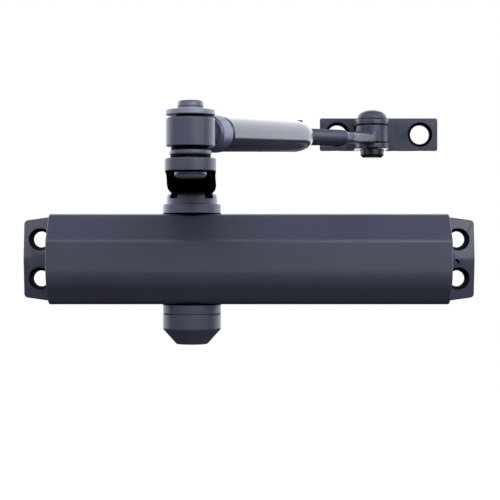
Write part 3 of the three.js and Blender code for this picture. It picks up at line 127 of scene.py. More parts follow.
@dataclass(frozen=True)
class Finish:
    """One real finish: its colours, its shader values and the scale of its pattern."""

    name: str
    slot: str
    colour: str
    worn_colour: str
    roughness: float
    roughness_spread: float = 0.06
    metallic: float = 0.0
    ior: float = 1.5
    specular: float = 0.5
    grain: Grain = Grain.SPRAYED
    grain_mm: float = 0.8
    bump_mm: float = 0.01
    mottling_mm: float = 14.0

    def material(self) -> bpy.types.Material:
        """Make the finish's node material, or give the one made before.

        The colour drifts between two close tones on a slow noise, the roughness drifts on a
        second noise, and the bump is a fine noise at the grain's real spacing.

        Returns:
            The material.
        """
        found = bpy.data.materials.get(self.name)
        if found:
            return found
        made = bpy.data.materials.new(self.name)
        made.use_nodes = True
        tree = made.node_tree
        shader = tree.nodes["Principled BSDF"]
        place = add_node(tree, "ShaderNodeTexCoord").outputs["Object"]
        slow = self.noise(tree, place, self.mottling_mm, 3.0)
        tone = add_node(
            tree,
            "ShaderNodeMix",
            {"data_type": "RGBA"},
            {0: slow, 6: linear(self.colour), 7: linear(self.worn_colour)},
        )
        tree.links.new(tone.outputs[2], shader.inputs["Base Color"])
        patches = self.noise(tree, place, self.mottling_mm / 2, 4.0)
        span = add_node(
            tree,
            "ShaderNodeMapRange",
            {},
            {
                "Value": patches,
                "From Min": 0.3,
                "From Max": 0.7,
                "To Min": self.roughness - self.roughness_spread,
                "To Max": self.roughness + self.roughness_spread,
            },
        )
        tree.links.new(span.outputs["Result"], shader.inputs["Roughness"])
        shader.inputs["Metallic"].default_value = self.metallic
        if self.metallic < 0.5:
            shader.inputs["IOR"].default_value = self.ior
        shader.inputs["Specular IOR Level"].default_value = self.specular
        bump = add_node(
            tree,
            "ShaderNodeBump",
            {},
            {"Strength": 1.0, "Distance": self.bump_mm * MM, "Height": self.relief(tree, place)},
        )
        tree.links.new(bump.outputs["Normal"], shader.inputs["Normal"])
        return made

    def noise(
        self,
        tree: bpy.types.NodeTree,
        place: bpy.types.NodeSocket,
        spacing_mm: float,
        detail: float,
    ) -> bpy.types.NodeSocket:
        """Add a noise whose cells are a real distance apart.

        Args:
            tree: the material's tree.
            place: the coordinates that it reads, in metres.
            spacing_mm: the distance between its cells.
            detail: how many finer layers it has.

        Returns:
            The noise's grey output.
        """
        node = add_node(
            tree,
            "ShaderNodeTexNoise",
            {},
            {"Vector": place, "Scale": 1 / (spacing_mm * MM), "Detail": detail},
        )
        return node.outputs["Fac"]

    def relief(
        self, tree: bpy.types.NodeTree, place: bpy.types.NodeSocket
    ) -> bpy.types.NodeSocket:
        """Add the pattern that stands for the surface's relief.

        Sprayed and moulded skins are one fine noise; a cast skin is a fine noise on a coarser
        one; a turned skin is a noise drawn out so that it changes along Z far faster than round.

        Args:
            tree: the material's tree.
            place: the coordinates that it reads, in metres.

        Returns:
            The height's output socket.
        """
        if self.grain is Grain.TURNED:
            drawn = add_node(
                tree, "ShaderNodeMapping", {}, {"Vector": place, "Scale": (0.08, 0.08, 1.0)}
            )
            return self.noise(tree, drawn.outputs["Vector"], self.grain_mm, 2.0)
        fine = self.noise(tree, place, self.grain_mm, 2.0)
        if self.grain is not Grain.CAST:
            return fine
        coarse = self.noise(tree, place, self.grain_mm * 5, 2.0)
        return add_node(
            tree, "ShaderNodeMath", {"operation": "ADD"}, {0: fine, 1: coarse}
        ).outputs[0]


# Stoving enamel sprayed on a casting: a satin skin with a faint orange peel.
SATIN_ENAMEL = Finish(
    "satin_blue_grey_enamel", "dark_paint", "4b4d5b", "525466", 0.33, 0.05,
    grain_mm=1.6, bump_mm=0.012, mottling_mm=40,
)
# The same enamel on the drawn tube, buffed: it mirrors its surroundings at a low angle.
GLOSS_ENAMEL = Finish(
    "gloss_blue_grey_enamel", "dark_paint", "313340", "383a47", 0.13, 0.03,
    grain_mm=1.6, bump_mm=0.002, mottling_mm=30,
)
# The casting's enamel painted a shade lighter on the upper nut, as painted light where the arm shades
# it.
LIGHTENED_NUT_ENAMEL = Finish(
    "lightened_blue_grey_enamel", "dark_paint", "696c7e", "73768b", 0.33, 0.05,
    grain_mm=1.2, bump_mm=0.01, mottling_mm=12,
)
# The enamel on the pressed shoe, which is thinner, darker and unevenly glossy.
SHOE_ENAMEL = Finish(
    "pressed_shoe_enamel", "dark_paint", "2a2c39", "5a5d72", 0.2, 0.1,
    grain_mm=8.0, bump_mm=0.09, mottling_mm=14,
)
# Paint run over the elbow pin's riveted foot.
PIN_ENAMEL = Finish(
    "painted_rivet", "dark_steel", "5a5d70", "666a7e", 0.3, 0.05,
    grain_mm=1.0, bump_mm=0.01, mottling_mm=5,
)
# Near black without specular reflection, painted as shade on the downward faces of the arm's bar.
PAINTED_SHADE_UNDERSIDE = Finish(
    "painted_shade_underside", "dark_paint", "020203", "040406", 0.9, 0.05,
    specular=0.0, grain=Grain.CAST, grain_mm=0.8, bump_mm=0.02, mottling_mm=8,
)
# Black oxide on turned steel: near black, with a soft oily sheen; the same near black is painted as
# shade on the shoe's fixing-hole walls.
BLACK_OXIDE_AND_HOLE_SHADE = Finish(
    "black_oxide_and_hole_shade", "black_finish", "04040a", "080810", 0.5, 0.06,
    specular=0.02, grain_mm=0.5, bump_mm=0.006, mottling_mm=6,
)
# Blackened and oiled steel on the collar: grey blue where it turns to the light.
OILED_STEEL = Finish(
    "oiled_blackened_steel", "black_finish", "5c6072", "6e7286", 0.4, 0.08,
    metallic=0.55, grain_mm=0.5, bump_mm=0.008, mottling_mm=4,
)
# Near black painted as shade on the rivet's foot below the lower ear, glossy enough to show one thin
# line of light.
RIVET_FOOT_SHADE = Finish(
    "rivet_foot_painted_shade", "dark_paint", "0c0c11", "15151b", 0.2, 0.05,
    grain_mm=0.5, bump_mm=0.004, mottling_mm=4,
)
# Near black painted as shade on the walls of holes, notches and the lug's nick, and in the gaps at
# the nuts' flanges; it throws back hardly any light.
HOLE_SHADE_BLACK = Finish(
    "painted_shade_black", "black_finish", "05050b", "090912", 0.8, 0.05,
    specular=0.03, grain=Grain.CAST, grain_mm=0.6, bump_mm=0.03, mottling_mm=4,
)
# Phosphated steel: a dark crystalline grey that still shines like metal.
PHOSPHATED_STEEL = Finish(
    "phosphated_steel", "dark_steel", "6a6d7e", "7a7d8e", 0.36, 0.07,
    metallic=0.75, grain_mm=0.4, bump_mm=0.004, mottling_mm=5,
)
# Blackened steel on the adjusting rod, matt where the thread was rolled.
ROLLED_STEEL = Finish(
    "rolled_black_steel", "dark_steel", "464957", "555867", 0.4, 0.08,
    metallic=0.6, grain_mm=0.4, bump_mm=0.006, mottling_mm=4,
)
# Plain machined steel on the elbow's screw: a mid grey with a soft shine.
MACHINED_STEEL = Finish(
    "machined_steel", "dark_steel", "6a6c7a", "767886", 0.4, 0.06,
    metallic=0.55, grain_mm=0.3, bump_mm=0.004, mottling_mm=4,
)
# Zinc-plated turned steel: bright, with fine rings left by the lathe.
TURNED_STEEL = Finish(
    "bright_zinc_steel", "bright_steel", "a8aab4", "9a9ca6", 0.42, 0.06,
    metallic=0.9, grain=Grain.TURNED, grain_mm=0.25, bump_mm=0.004, mottling_mm=6,
)
# The same plating dulled by passivation, on the ring that the knuckle turns on.
DULL_ZINC = Finish(
    "passivated_zinc_steel", "bright_steel", "5c5e6b", "686a77", 0.38, 0.06,
    metallic=0.55, grain=Grain.TURNED, grain_mm=0.25, bump_mm=0.006, mottling_mm=5,
)
# Zinc plate on the cup washer, which is lighter and duller than polished steel; the same bright
# colour is painted as a highlight line on the elbow pin's foot rim.
SATIN_ZINC_AND_HIGHLIGHT = Finish(
    "satin_zinc_and_highlight", "bright_steel", "8e909e", "9a9caa", 0.45, 0.06,
    metallic=0.4, grain=Grain.TURNED, grain_mm=0.25, bump_mm=0.005, mottling_mm=5,
)
# Machined grey iron: dull, with an open grain.
GREY_IRON = Finish(
    "machined_grey_iron", "cast_iron", "5f5d59", "6b6964", 0.5, 0.08,
    metallic=0.8, grain=Grain.CAST, grain_mm=0.5, bump_mm=0.012, mottling_mm=8,
)
# Nitrile rubber: matte black with a moulded skin.
NITRILE = Finish(
    "nitrile_rubber", "seal_rubber", "141417", "1a1a1e", 0.75, 0.05,
    grain=Grain.MOULDED, grain_mm=0.4, bump_mm=0.006, mottling_mm=5,
)


# ------------------------------------------------------------------ surfaces


@dataclass
class Skin:
    """A closed surface as a grid of points, its columns wrapped round.

    Fields:
        points: rows by columns by 3, in millimetres.
        wrap_rows: whether the last row joins the first.
    """

    points: Array
    wrap_rows: bool = False

    def faces(self) -> Array:
        """Give the grid's quads as vertex numbers, turned so that they face outwards.

        The side that faces out is found from the sign of the volume that the quads enclose,
        a sum of each triangle's corners' triple product.

        Returns:
            Faces by 4.
        """
        rows, columns = self.points.shape[:2]
        number = np.arange(rows * columns).reshape(rows, columns)
        if self.wrap_rows:
            number = np.vstack([number, number[:1]])
        low = number[:-1]
        high = number[1:]
        low_next = np.roll(low, -1, axis=1)
        high_next = np.roll(high, -1, axis=1)
        quads = np.stack([low, low_next, high_next, high], axis=-1).reshape(-1, 4)
        corners = self.points.reshape(-1, 3)[quads]
        a, b, c, d = (corners[:, i] for i in range(4))
        volume = np.einsum("ij,ij->", a, np.cross(b, c)) + np.einsum("ij,ij->", a, np.cross(c, d))
        return quads if volume > 0 else quads[:, ::-1]


def filleted(corners: Sequence[tuple[float, float, float]], closed: bool, steps: int = 6) -> Array:
    """Round the corners of a flat outline.

    Each corner becomes an arc of its radius that touches both sides. The arc's centre lies on
    the corner's bisector, at the radius over the sine of the half angle.

    Args:
        corners: x, y and radius of each corner.
        closed: whether the last corner joins the first.
        steps: how many pieces each arc has.

    Returns:
        The outline's points, count by 2.
    """
    places = np.array([corner[:2] for corner in corners], float)
    made = []
    for i, (_, _, radius) in enumerate(corners):
        here = places[i]
        inner = closed or 0 < i < len(corners) - 1
        if radius <= 0 or not inner:
            made.append(here[None])
            continue
        before = places[i - 1] - here
        after = places[(i + 1) % len(places)] - here
        before = before / np.linalg.norm(before)
        after = after / np.linalg.norm(after)
        half = math.acos(float(np.clip(before @ after, -1, 1))) / 2
        middle = (before + after) / np.linalg.norm(before + after)
        centre = here + middle * radius / math.sin(half)
        start = here + before * radius / math.tan(half) - centre
        end = here + after * radius / math.tan(half) - centre
        first = math.atan2(start[1], start[0])
        sweep = math.atan2(start[0] * end[1] - start[1] * end[0], float(start @ end))
        angle = first + sweep * np.linspace(0, 1, steps + 1)
        made.append(centre + radius * np.stack([np.cos(angle), np.sin(angle)], -1))
    return np.vstack(made)


def basis(direction: Sequence[float]) -> tuple[Array, Array, Array]:
    """Give two directions square to a third, and that one, as a right-handed set.

    Args:
        direction: any direction.

    Returns:
        The two square directions and the unit direction.
    """
    main = np.asarray(direction, float)
    main = main / np.linalg.norm(main)
    helper = np.array([1.0, 0, 0]) if abs(main[0]) < 0.9 else np.array([0, 1.0, 0])
    second = np.cross(main, helper)
    second /= np.linalg.norm(second)
    return np.cross(second, main), second, main


def lathe(
    profile: Array,
    centre: Sequence[float],
    direction: Sequence[float] = (0, 0, 1),
    segments: int = 96,
    rule: Rule | None = None,
) -> Skin:
    """Turn a profile about an axis.

    A point is the centre, plus its height along the axis, plus its radius times the cosine and
    sine of its angle along two directions square to the axis.

    Args:
        profile: radius and height of each point.
        centre: the axis's zero height.
        direction: the axis's direction.
        segments: how many columns go round.
        rule: changes the radius by radius, height and angle, or None for a round piece.

    Returns:
        The closed surface.
    """
    across, over, along = basis(direction)
    angle = np.linspace(0, 2 * np.pi, segments, endpoint=False)[None, :]
    radius = np.repeat(profile[:, :1], segments, axis=1)
    height = np.repeat(profile[:, 1:], segments, axis=1)
    if rule:
        radius = rule(radius, height, angle)
    ring = np.cos(angle)[..., None] * across + np.sin(angle)[..., None] * over
    points = np.asarray(centre, float) + height[..., None] * along + radius[..., None] * ring
    closed = bool(np.allclose(profile[0], profile[-1]) and profile[0, 0] > 1e-9)
    return Skin(points[:-1] if closed else points, closed)


def turned(
    corners: Sequence[tuple[float, float, float]],
    centre: Sequence[float],
    direction: Sequence[float] = (0, 0, 1),
    segments: int = 96,
    rule: Rule | None = None,
    steps: int = 6,
) -> Skin:
    """Turn a profile with rounded corners about an axis.

    Args:
        corners: radius, height and fillet of each corner.
        centre: the axis's zero height.
        direction: the axis's direction.
        segments: how many columns go round.
        rule: changes the radius by radius, height and angle, or None for a round piece.
        steps: how many pieces each fillet has.

    Returns:
        The closed surface.
    """
    return lathe(filleted(corners, False, steps), centre, direction, segments, rule)


def rectangle(
    low: Sequence[float], high: Sequence[float], radius: float, far_radius: float | None = None
) -> Array:
    """Draw a rectangle with rounded corners, anticlockwise from its low corner.

    Args:
        low: its lowest x and y.
        high: its highest x and y.
        radius: its corners' radius, or that of the two at low x where far_radius is given.
        far_radius: the radius of the two corners at high x.

    Returns:
        The outline's points.
    """
    far = radius if far_radius is None else far_radius
    corners = [
        (low[0], low[1], radius), (high[0], low[1], far),
        (high[0], high[1], far), (low[0], high[1], radius),
    ]
    return filleted(corners, True)


def slab(
    outline: Array,
    spine: Array,
    low: float,
    high: float | Array,
    edge: float,
    axes: tuple[Sequence[float], Sequence[float], Sequence[float]],
    origin: Sequence[float] = (0, 0, 0),
    steps: int = 5,
    spine_high: float | None = None,
) -> Skin:
    """Give a flat plate its thickness, with rounded edges.

    The side is the outline carried from low to high. Each edge is a quarter circle: the outline
    moves in along its own normal by the radius times one minus the cosine, while the height
    moves by the radius times one minus the sine. Each face runs straight from the edge to the
    spine, a point or line in the plate's middle on which opposite sides meet.

    Args:
        outline: the plan's points, count by 2, anticlockwise.
        spine: for each outline point, where it meets the spine.
        low: the lower face's height.
        high: the upper face's height, one value or one for each outline point.
        edge: the edges' radius.
        axes: the directions of the plan's x and y and of the height.
        origin: where the plan's origin lies.
        steps: how many pieces each quarter circle has.
        spine_high: the upper face's height on the spine, if it isn't that of its edge.

    Returns:
        The closed surface.
    """
    ahead = np.roll(outline, -1, axis=0) - np.roll(outline, 1, axis=0)
    normal = np.stack([ahead[:, 1], -ahead[:, 0]], -1)
    normal /= np.linalg.norm(normal, axis=1, keepdims=True)
    top = np.broadcast_to(np.asarray(high, float), (len(outline),))
    turn = np.linspace(0, np.pi / 2, steps + 1)
    inset = edge * (1 - np.sin(turn))
    rise = edge * (1 - np.cos(turn))
    plans = [spine]
    heights = [np.full(len(outline), low)]
    for step_in, step_up in zip(inset, rise):
        plans.append(outline - normal * step_in)
        heights.append(np.full(len(outline), low + step_up))
    for step_in, step_up in zip(inset[::-1], rise[::-1]):
        plans.append(outline - normal * step_in)
        heights.append(top - step_up)
    plans.append(spine)
    heights.append(top if spine_high is None else np.full(len(outline), spine_high))
    flat = np.stack(plans)
    height = np.stack(heights)[..., None]
    x_axis, y_axis, up = (np.asarray(axis, float) for axis in axes)
    points = np.asarray(origin, float) + flat[..., :1] * x_axis + flat[..., 1:] * y_axis
    return Skin(points + height * up)


def densified(outline: Array, spacing: float) -> Array:
    """Add points along a closed outline's straight sides, evenly on each.

    Args:
        outline: the outline's points.
        spacing: the longest that a side may be, in millimetres.

    Returns:
        The outline with the added points.
    """
    ends = np.roll(outline, -1, axis=0)
    lengths = np.linalg.norm(ends - outline, axis=1)
    counts = np.maximum(1, np.ceil(lengths / spacing)).astype(int)
    parts = [
        start + (end - start) * np.linspace(0, 1, count, endpoint=False)[:, None]
        for start, end, count in zip(outline, ends, counts)
    ]
    return np.vstack(parts)


def spine_of(outline: Array, start: Array, end: Array) -> Array:
    """Give each outline point's nearest place on a straight line between two points.

    Args:
        outline: the outline's points.
        start: the line's first end.
        end: its last end.

    Returns:
        One place for each outline point.
    """
    along = end - start
    reach = np.clip((outline - start) @ along / max(float(along @ along), 1e-12), 0, 1)
    return start + reach[:, None] * along


# Directions, and the axes of a plate's plan and height: lying flat, facing front, facing right.
X_AXIS = (1.0, 0.0, 0.0)
Y_AXIS = (0.0, 1.0, 0.0)
Z_AXIS = (0.0, 0.0, 1.0)
FORWARD = (0.0, -1.0, 0.0)
PLAN = (X_AXIS, Y_AXIS, Z_AXIS)
FRONT = (X_AXIS, Z_AXIS, FORWARD)
ALONG = (FORWARD, Z_AXIS, X_AXIS)

# Edges bent more than this stay crisp, and points nearer than this, in metres, are one.
SHARP_ANGLE = math.radians(32)
WELD = 1e-7


def mesh_object(name: str, skins: Sequence[Skin], finish: Finish) -> bpy.types.Object:
    """Put closed surfaces into one mesh object, in metres, with one finish.

    Args:
        name: the object's name.
        skins: the surfaces.
        finish: the finish they take.

    Returns:
        The new object, linked to the scene.
    """
    points = np.vstack([skin.points.reshape(-1, 3) for skin in skins]) * MM
    starts = np.cumsum([0] + [skin.points.shape[0] * skin.points.shape[1] for skin in skins[:-1]])
    faces = np.vstack([skin.faces() + start for skin, start in zip(skins, starts)])
    mesh = bpy.data.meshes.new(name)
    mesh.from_pydata(points.tolist(), [], faces.tolist())
    made = bpy.data.objects.new(name, mesh)
    bpy.context.scene.collection.objects.link(made)
    mesh.materials.append(finish.material())
    weld(made)
    return made


def weld(made: bpy.types.Object) -> None:
    """Merge a mesh's doubled points, drop its empty faces and shade it smooth between creases.

    Args:
        made: the object whose mesh is changed.
    """
    work = bmesh.new()
    work.from_mesh(made.data)
    bmesh.ops.remove_doubles(work, verts=work.verts, dist=WELD)
    bmesh.ops.dissolve_degenerate(work, edges=work.edges, dist=WELD)
    work.to_mesh(made.data)
    work.free()
    made.data.shade_smooth()
    made.data.set_sharp_from_angle(angle=SHARP_ANGLE)


class Join(Enum):
    """How one closed mesh is combined with another."""

    ADD = "UNION"
    CUT = "DIFFERENCE"


def combine(target: bpy.types.Object, tools: Sequence[bpy.types.Object], how: Join) -> None:
    """Add closed meshes to a target, or cut them out of it, and remove them.

    Args:
        target: the object that is changed.
        tools: the objects used up.
        how: whether they are added or cut away.
    """
    for tool in tools:
        step = target.modifiers.new("step", "BOOLEAN")
        step.operation = how.value
        step.solver = "EXACT"
        step.material_mode = "TRANSFER"
        step.object = tool
    bpy.context.view_layer.update()
    graph = bpy.context.evaluated_depsgraph_get()
    shaped = bpy.data.meshes.new_from_object(target.evaluated_get(graph))
    target.modifiers.clear()
    old = target.data
    target.data = shaped
    bpy.data.meshes.remove(old)
    for tool in tools:
        bpy.data.objects.remove(tool)
    shaped.name = target.name
    shaped.shade_smooth()
    shaped.set_sharp_from_angle(angle=SHARP_ANGLE)


def repaint(
    made: bpy.types.Object,
    finish: Finish,
    low: float,
    high: float,
    tilt: tuple[float, float] = (-1.1, 1.1),
) -> None:
    """Give some of a piece's faces another finish, by their height and their tilt.

    Args:
        made: the piece.
        finish: the finish that the faces take.
        low: the height that the faces' centres are over, in millimetres.
        high: the height that they are under.
        tilt: the range of their normals' upward part, from -1 facing down to 1 facing up.
    """
    made.data.materials.append(finish.material())
    count = len(made.data.polygons)
    normals = np.empty(count * 3, np.float32)
    centres = np.empty(count * 3, np.float32)
    slots = np.empty(count, np.int32)
    made.data.polygons.foreach_get("normal", normals)
    made.data.polygons.foreach_get("center", centres)
    made.data.polygons.foreach_get("material_index", slots)
    upward = normals[2::3]
    height = centres[2::3] / MM
    chosen = (height > low) & (height < high) & (upward > tilt[0]) & (upward < tilt[1])
    slots[chosen] = len(made.data.materials) - 1
    made.data.polygons.foreach_set("material_index", slots)


def settle(made: bpy.types.Object, body: str, finish: Finish, *nodes: str) -> None:
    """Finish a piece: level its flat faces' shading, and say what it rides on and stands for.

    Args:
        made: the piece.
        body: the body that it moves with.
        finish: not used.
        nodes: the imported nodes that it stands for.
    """
    level = made.modifiers.new("level_faces", "WEIGHTED_NORMAL")
    level.keep_sharp = True
    level.weight = 100
    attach(made, body)
    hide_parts(*nodes)
    LOG.info("%s: %d faces, rides on %s", made.name, len(made.data.polygons), body)


def piece(name: str, skins: Sequence[Skin], finish: Finish, body: str, *nodes: str) -> None:
    """Make a piece from its surfaces and settle it.

    Args:
        name: the piece's name.
        skins: its closed surfaces.
        finish: its finish.
        body: the body that it moves with.
        nodes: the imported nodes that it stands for.
    """
    settle(mesh_object(name, skins, finish), body, finish, *nodes)


def drill(
    name: str,
    radius: float,
    span: tuple[float, float],
    centre: Sequence[float],
    direction: Sequence[float] = (0, 0, 1),
    segments: int = 96,
    finish: Finish = HOLE_SHADE_BLACK,
) -> bpy.types.Object:
    """Build the cutter for a plain round hole.

    Args:
        name: the cutter's name.
        radius: the hole's radius.
        span: where the cutter starts and ends along its axis.
        centre: the axis's zero.
        direction: the axis's direction.
        segments: how many columns go round.
        finish: the finish that the hole's wall takes.

    Returns:
        The cutter.
    """
    low, high = span
    profile = np.array([[0, low], [radius, low], [radius, high], [0, high]])
    return mesh_object(name, [lathe(profile, centre, direction, segments)], finish)


def dress(finish: Finish, *nodes: str) -> None:
    """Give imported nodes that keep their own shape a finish."""
    for node in nodes:
        shown = frame["nodes"][node]
        shown.data.materials.clear()
        shown.data.materials.append(finish.material())
        LOG.info("%s: keeps its shape, finish %s", node, finish.name)


# ------------------------------------------------------------------ places from the frame


def joint(name: str) -> dict:
    """Give a joint of the frame by name."""
    return next(j for j in frame["joints"] if j["name"] == name)


def low_corner(node: str) -> Array:
    """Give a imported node's lowest corner, in millimetres."""
    return np.array(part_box(node)[0]) / MM


def high_corner(node: str) -> Array:
    """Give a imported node's highest corner, in millimetres."""
    return np.array(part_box(node)[1]) / MM


def middle(node: str) -> Array:
    """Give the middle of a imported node's box, in millimetres."""
    return (low_corner(node) + high_corner(node)) / 2


SHAFT_AXIS = np.array(joint("pinion_turn")["pos_m"]) / MM
ELBOW_AXIS = np.array(joint("elbow")["pos_m"]) / MM
SHOE_AXIS = np.array(joint("shoe_pivot")["pos_m"]) / MM
ROD_DIRECTION = np.array(joint("rod_length")["axis"])
# Where the three upright axes pass level zero.
SHAFT_FOOT = np.array([*SHAFT_AXIS[:2], 0.0])
ELBOW_FOOT = np.array([*ELBOW_AXIS[:2], 0.0])
SHOE_FOOT = np.array([*SHOE_AXIS[:2], 0.0])
# How far over the knuckle's foot the forearm's own axis starts.
ROOT_RISE = 4.7
TAU = 2 * math.pi


def forearm_root() -> Array:
    """Give the point where the forearm's axis leaves the elbow's, over the knuckle's foot."""
    return np.array([*ELBOW_AXIS[:2], float(low_corner("forearm_knuckle")[2]) + ROOT_RISE])


def rising_axes() -> tuple[Array, Array, Array]:
    """Give the forearm's own upward, sideways and forward directions.

    Returns:
        Three unit directions, square to each other.
    """
    along = ROD_DIRECTION / np.linalg.norm(ROD_DIRECTION)
    side = np.cross(Z_AXIS, along)
    side /= np.linalg.norm(side)
    return np.cross(along, side), side, along


def hex_radius(across_flats: float, angle: Array) -> Array:
    """Give a regular hexagon's radius at each angle: half its width over the cosine to the flat."""
    return across_flats / 2 / np.cos((angle + np.pi / 6) % (np.pi / 3) - np.pi / 6)


def socket_head(floor: float, across_flats: float) -> Rule:
    """Make a lathe rule that turns the profile's inner rows into a hexagon socket.

    Args:
        floor: the height below which every row stays round.
        across_flats: the socket's width, which is twice the radius of the rows that it shapes.

    Returns:
        A function of radius, height and angle that gives the new radius.
    """

    def rule(radius: Array, height: Array, angle: Array) -> Array:
        """Give the hexagon's radius on the socket's rows, and the old radius on the others."""
        inner = np.isclose(radius, across_flats / 2) & (height >= floor)
        return np.where(inner, hex_radius(across_flats, angle), radius)

    return rule


# ------------------------------------------------------------------ housing


@dataclass
class Housing:
    """The body with its lugs, the plugs in its bore and the regulating screws."""

    upper_ridge: float = 8.75
    lower_ridge: float = 10.2
    shoulder_radius: float = 8.0
    upper_ridge_radius: float = 3.0
    lower_ridge_radius: float = 14.0
    back_edge: float = 1.0
    end_edge: float = 0.6
    bore_radius: float = 17.0
    shaft_hole: float = 12.0
    lug_reach: float = 15.5
    lug_thickness: float = 9.6
    lug_edge_thickness: float = 6.2
    lug_root_height: float = 41.7
    lug_tip_height: float = 37.3
    lug_corner: float = 2.0
    lug_edge: float = 0.7
    fixing_pitch: tuple[float, float] = (203.2, 19.05)
    fixing_hole: float = 3.9
    fixing_sink: float = 5.5
    fixing_sink_depth: float = 4.5
    pit_size: tuple[float, float] = (2.6, 1.1)
    plug_length: float = 12.0
    plug_gap: float = 0.3
    plug_socket: float = 12.0
    plug_socket_depth: float = 6.0
    plug_shank_hole: float = 4.3
    plug_head_hole: float = 6.7
    plug_head_depth: float = 5.3
    valve_hole: float = 2.2
    valve_radius: float = 1.9
    valve_neck: float = 1.1
    valve_length: float = 14.0
    valve_slot: float = 0.4
    power_shank: float = 4.0
    power_head: float = 6.4
    power_head_height: float = 5.0
    power_socket: float = 5.0
    half_height: float = field(init=False)
    depth: float = field(init=False)
    end: float = field(init=False)
    bore_y: float = field(init=False)

    def __post_init__(self) -> None:
        """Take the sizes that the frame sets."""
        low = low_corner("housing")
        high = high_corner("housing")
        self.half_height = (high[2] - low[2]) / 2
        self.depth = -low[1]
        self.end = high[0] - self.lug_reach
        self.bore_y = float(middle("left_end_plug")[1])

    def build(self) -> None:
        """Build the housing and what closes it."""
        self.build_shell()
        for side, name in ((-1, "left"), (1, "right")):
            self.build_plug(side, name)
        for name in ("sweep", "latch", "backcheck"):
            self.build_valve(name)
        self.build_power_screw()
        dress(NITRILE, "left_plug_o_ring", "right_plug_o_ring", "sweep_valve_o_ring")
        dress(NITRILE, "latch_valve_o_ring", "backcheck_valve_o_ring")
        dress(TURNED_STEEL, "power_screw_clip")

    def build_shell(self) -> None:
        """Build the body and lugs as one casting and cut its holes."""
        half = self.half_height
        corners = [
            (0, half, self.back_edge),
            (0, -half, self.back_edge),
            (self.depth - half + self.lower_ridge, -half, self.shoulder_radius),
            (self.depth, -self.lower_ridge, self.lower_ridge_radius),
            (self.depth, self.upper_ridge, self.upper_ridge_radius),
            (self.depth - half + self.upper_ridge, half, self.shoulder_radius),
        ]
        section = densified(filleted(corners, True, 10), 6.0)
        core = np.broadcast_to([-self.bore_y, 0.0], section.shape)
        shell = mesh_object(
            "closer_housing",
            [slab(section, core, -self.end, self.end, self.end_edge, ALONG)],
            SATIN_ENAMEL,
        )
        combine(shell, [self.lug(-1), self.lug(1)], Join.ADD)
        reach = half + 5
        bore_span = (-self.end, self.end)
        tools = [
            drill("bore", self.bore_radius, bore_span, (0, self.bore_y, 0), X_AXIS, 128),
            drill("shaft_hole", self.shaft_hole, (-reach, reach), SHAFT_FOOT),
        ]
        tools += [self.fixing(x, z) for x in (-1, 1) for z in (-1, 1)]
        tools += [self.valve_bore(name) for name in ("sweep", "latch", "backcheck")]
        tools.append(self.pit())
        combine(shell, tools, Join.CUT)
        settle(shell, "closer_body", SATIN_ENAMEL, "housing")

    def front_at(self, z: Array | float) -> Array | float:
        """Give the lug's thickness at a height: it falls evenly away from the ridge."""
        slope = (self.lug_thickness - self.lug_edge_thickness) / self.half_height
        return self.lug_thickness - slope * np.abs(z)

    def lug(self, side: int) -> bpy.types.Object:
        """Build one lug, a tapering plate with a low ridge.

        Args:
            side: 1 for the right lug, -1 for the left.

        Returns:
            The lug, still to be joined.
        """
        inset = 3.0
        spine_inset = 8.0
        root = self.end - inset
        tip = self.end + self.lug_reach
        taper = (self.lug_root_height - self.lug_tip_height) / 2 / self.lug_reach
        root_half = self.lug_root_height / 2 + taper * inset
        tip_half = self.lug_tip_height / 2
        corners = [
            (root, -root_half, 0),
            (tip, -tip_half, self.lug_corner),
            (tip, tip_half, self.lug_corner),
            (root, root_half, 0),
        ]
        outline = densified(filleted(corners, True, 6), 1.5)
        spine_ends = np.array([[root + spine_inset, 0.0], [tip - tip_half / 2, 0.0]])
        spine = spine_of(outline, *spine_ends)
        outline[:, 0] *= side
        spine = spine * [side, 1]
        if side < 0:
            outline = outline[::-1]
            spine = spine[::-1]
        skin = slab(
            outline, spine, 0, self.front_at(outline[:, 1]), self.lug_edge, FRONT,
            spine_high=self.lug_thickness,
        )
        return mesh_object("lug", [skin], SATIN_ENAMEL)

    def fixing(self, side: int, row: int) -> bpy.types.Object:
        """Build the cutter for one fixing hole, sunk at the front for the screw's head.

        Args:
            side: 1 for a right hole, -1 for a left one.
            row: 1 for an upper hole, -1 for a lower one.

        Returns:
            The cutter.
        """
        x = side * self.fixing_pitch[0] / 2
        z = row * self.fixing_pitch[1] / 2
        front = float(self.front_at(z))
        corners = [
            (0, -2, 0),
            (self.fixing_hole + 0.3, -2, 0),
            (self.fixing_hole + 0.3, 0, 0),
            (self.fixing_hole, 0.4, 0),
            (self.fixing_hole, front - self.fixing_sink_depth, 0),
            (self.fixing_sink, front - 0.8, 0),
            (self.fixing_sink, front + 4, 0),
            (0, front + 4, 0),
        ]
        # The fixing holes' sunk walls take the near black as painted shade.
        return mesh_object("fixing", [turned(corners, (x, 0, z), FORWARD, 72)], HOLE_SHADE_BLACK)

    def valve_bore(self, name: str) -> bpy.types.Object:
        """Build the cutter for one regulating screw's hole.

        Args:
            name: the valve's name.

        Returns:
            The cutter.
        """
        centre = middle(f"{name}_valve_screw")
        outward = (math.copysign(1, centre[0]), 0, 0)
        return drill("valve_bore", self.valve_hole, (-8, 12), centre, outward, 40)

    def pit(self) -> bpy.types.Object:
        """Build the cutter for the small slanting nick between the right lug's holes."""
        long, wide = self.pit_size
        outline = rectangle((-long, -wide / 2), (long, wide / 2), 0.3) / [2, 1]
        turn = math.radians(-45)
        x_axis = (math.cos(turn), 0, math.sin(turn))
        y_axis = (-math.sin(turn), 0, math.cos(turn))
        spine = np.zeros_like(outline)
        origin = (self.fixing_pitch[0] / 2 - 0.5, 0, -1.0)
        skin = slab(
            outline, spine, self.lug_thickness - 1.2, self.lug_thickness + 2, 0.2,
            (x_axis, y_axis, FORWARD), origin,
        )
        # The nick's walls take the near black as painted shade.
        return mesh_object("pit", [skin], HOLE_SHADE_BLACK)

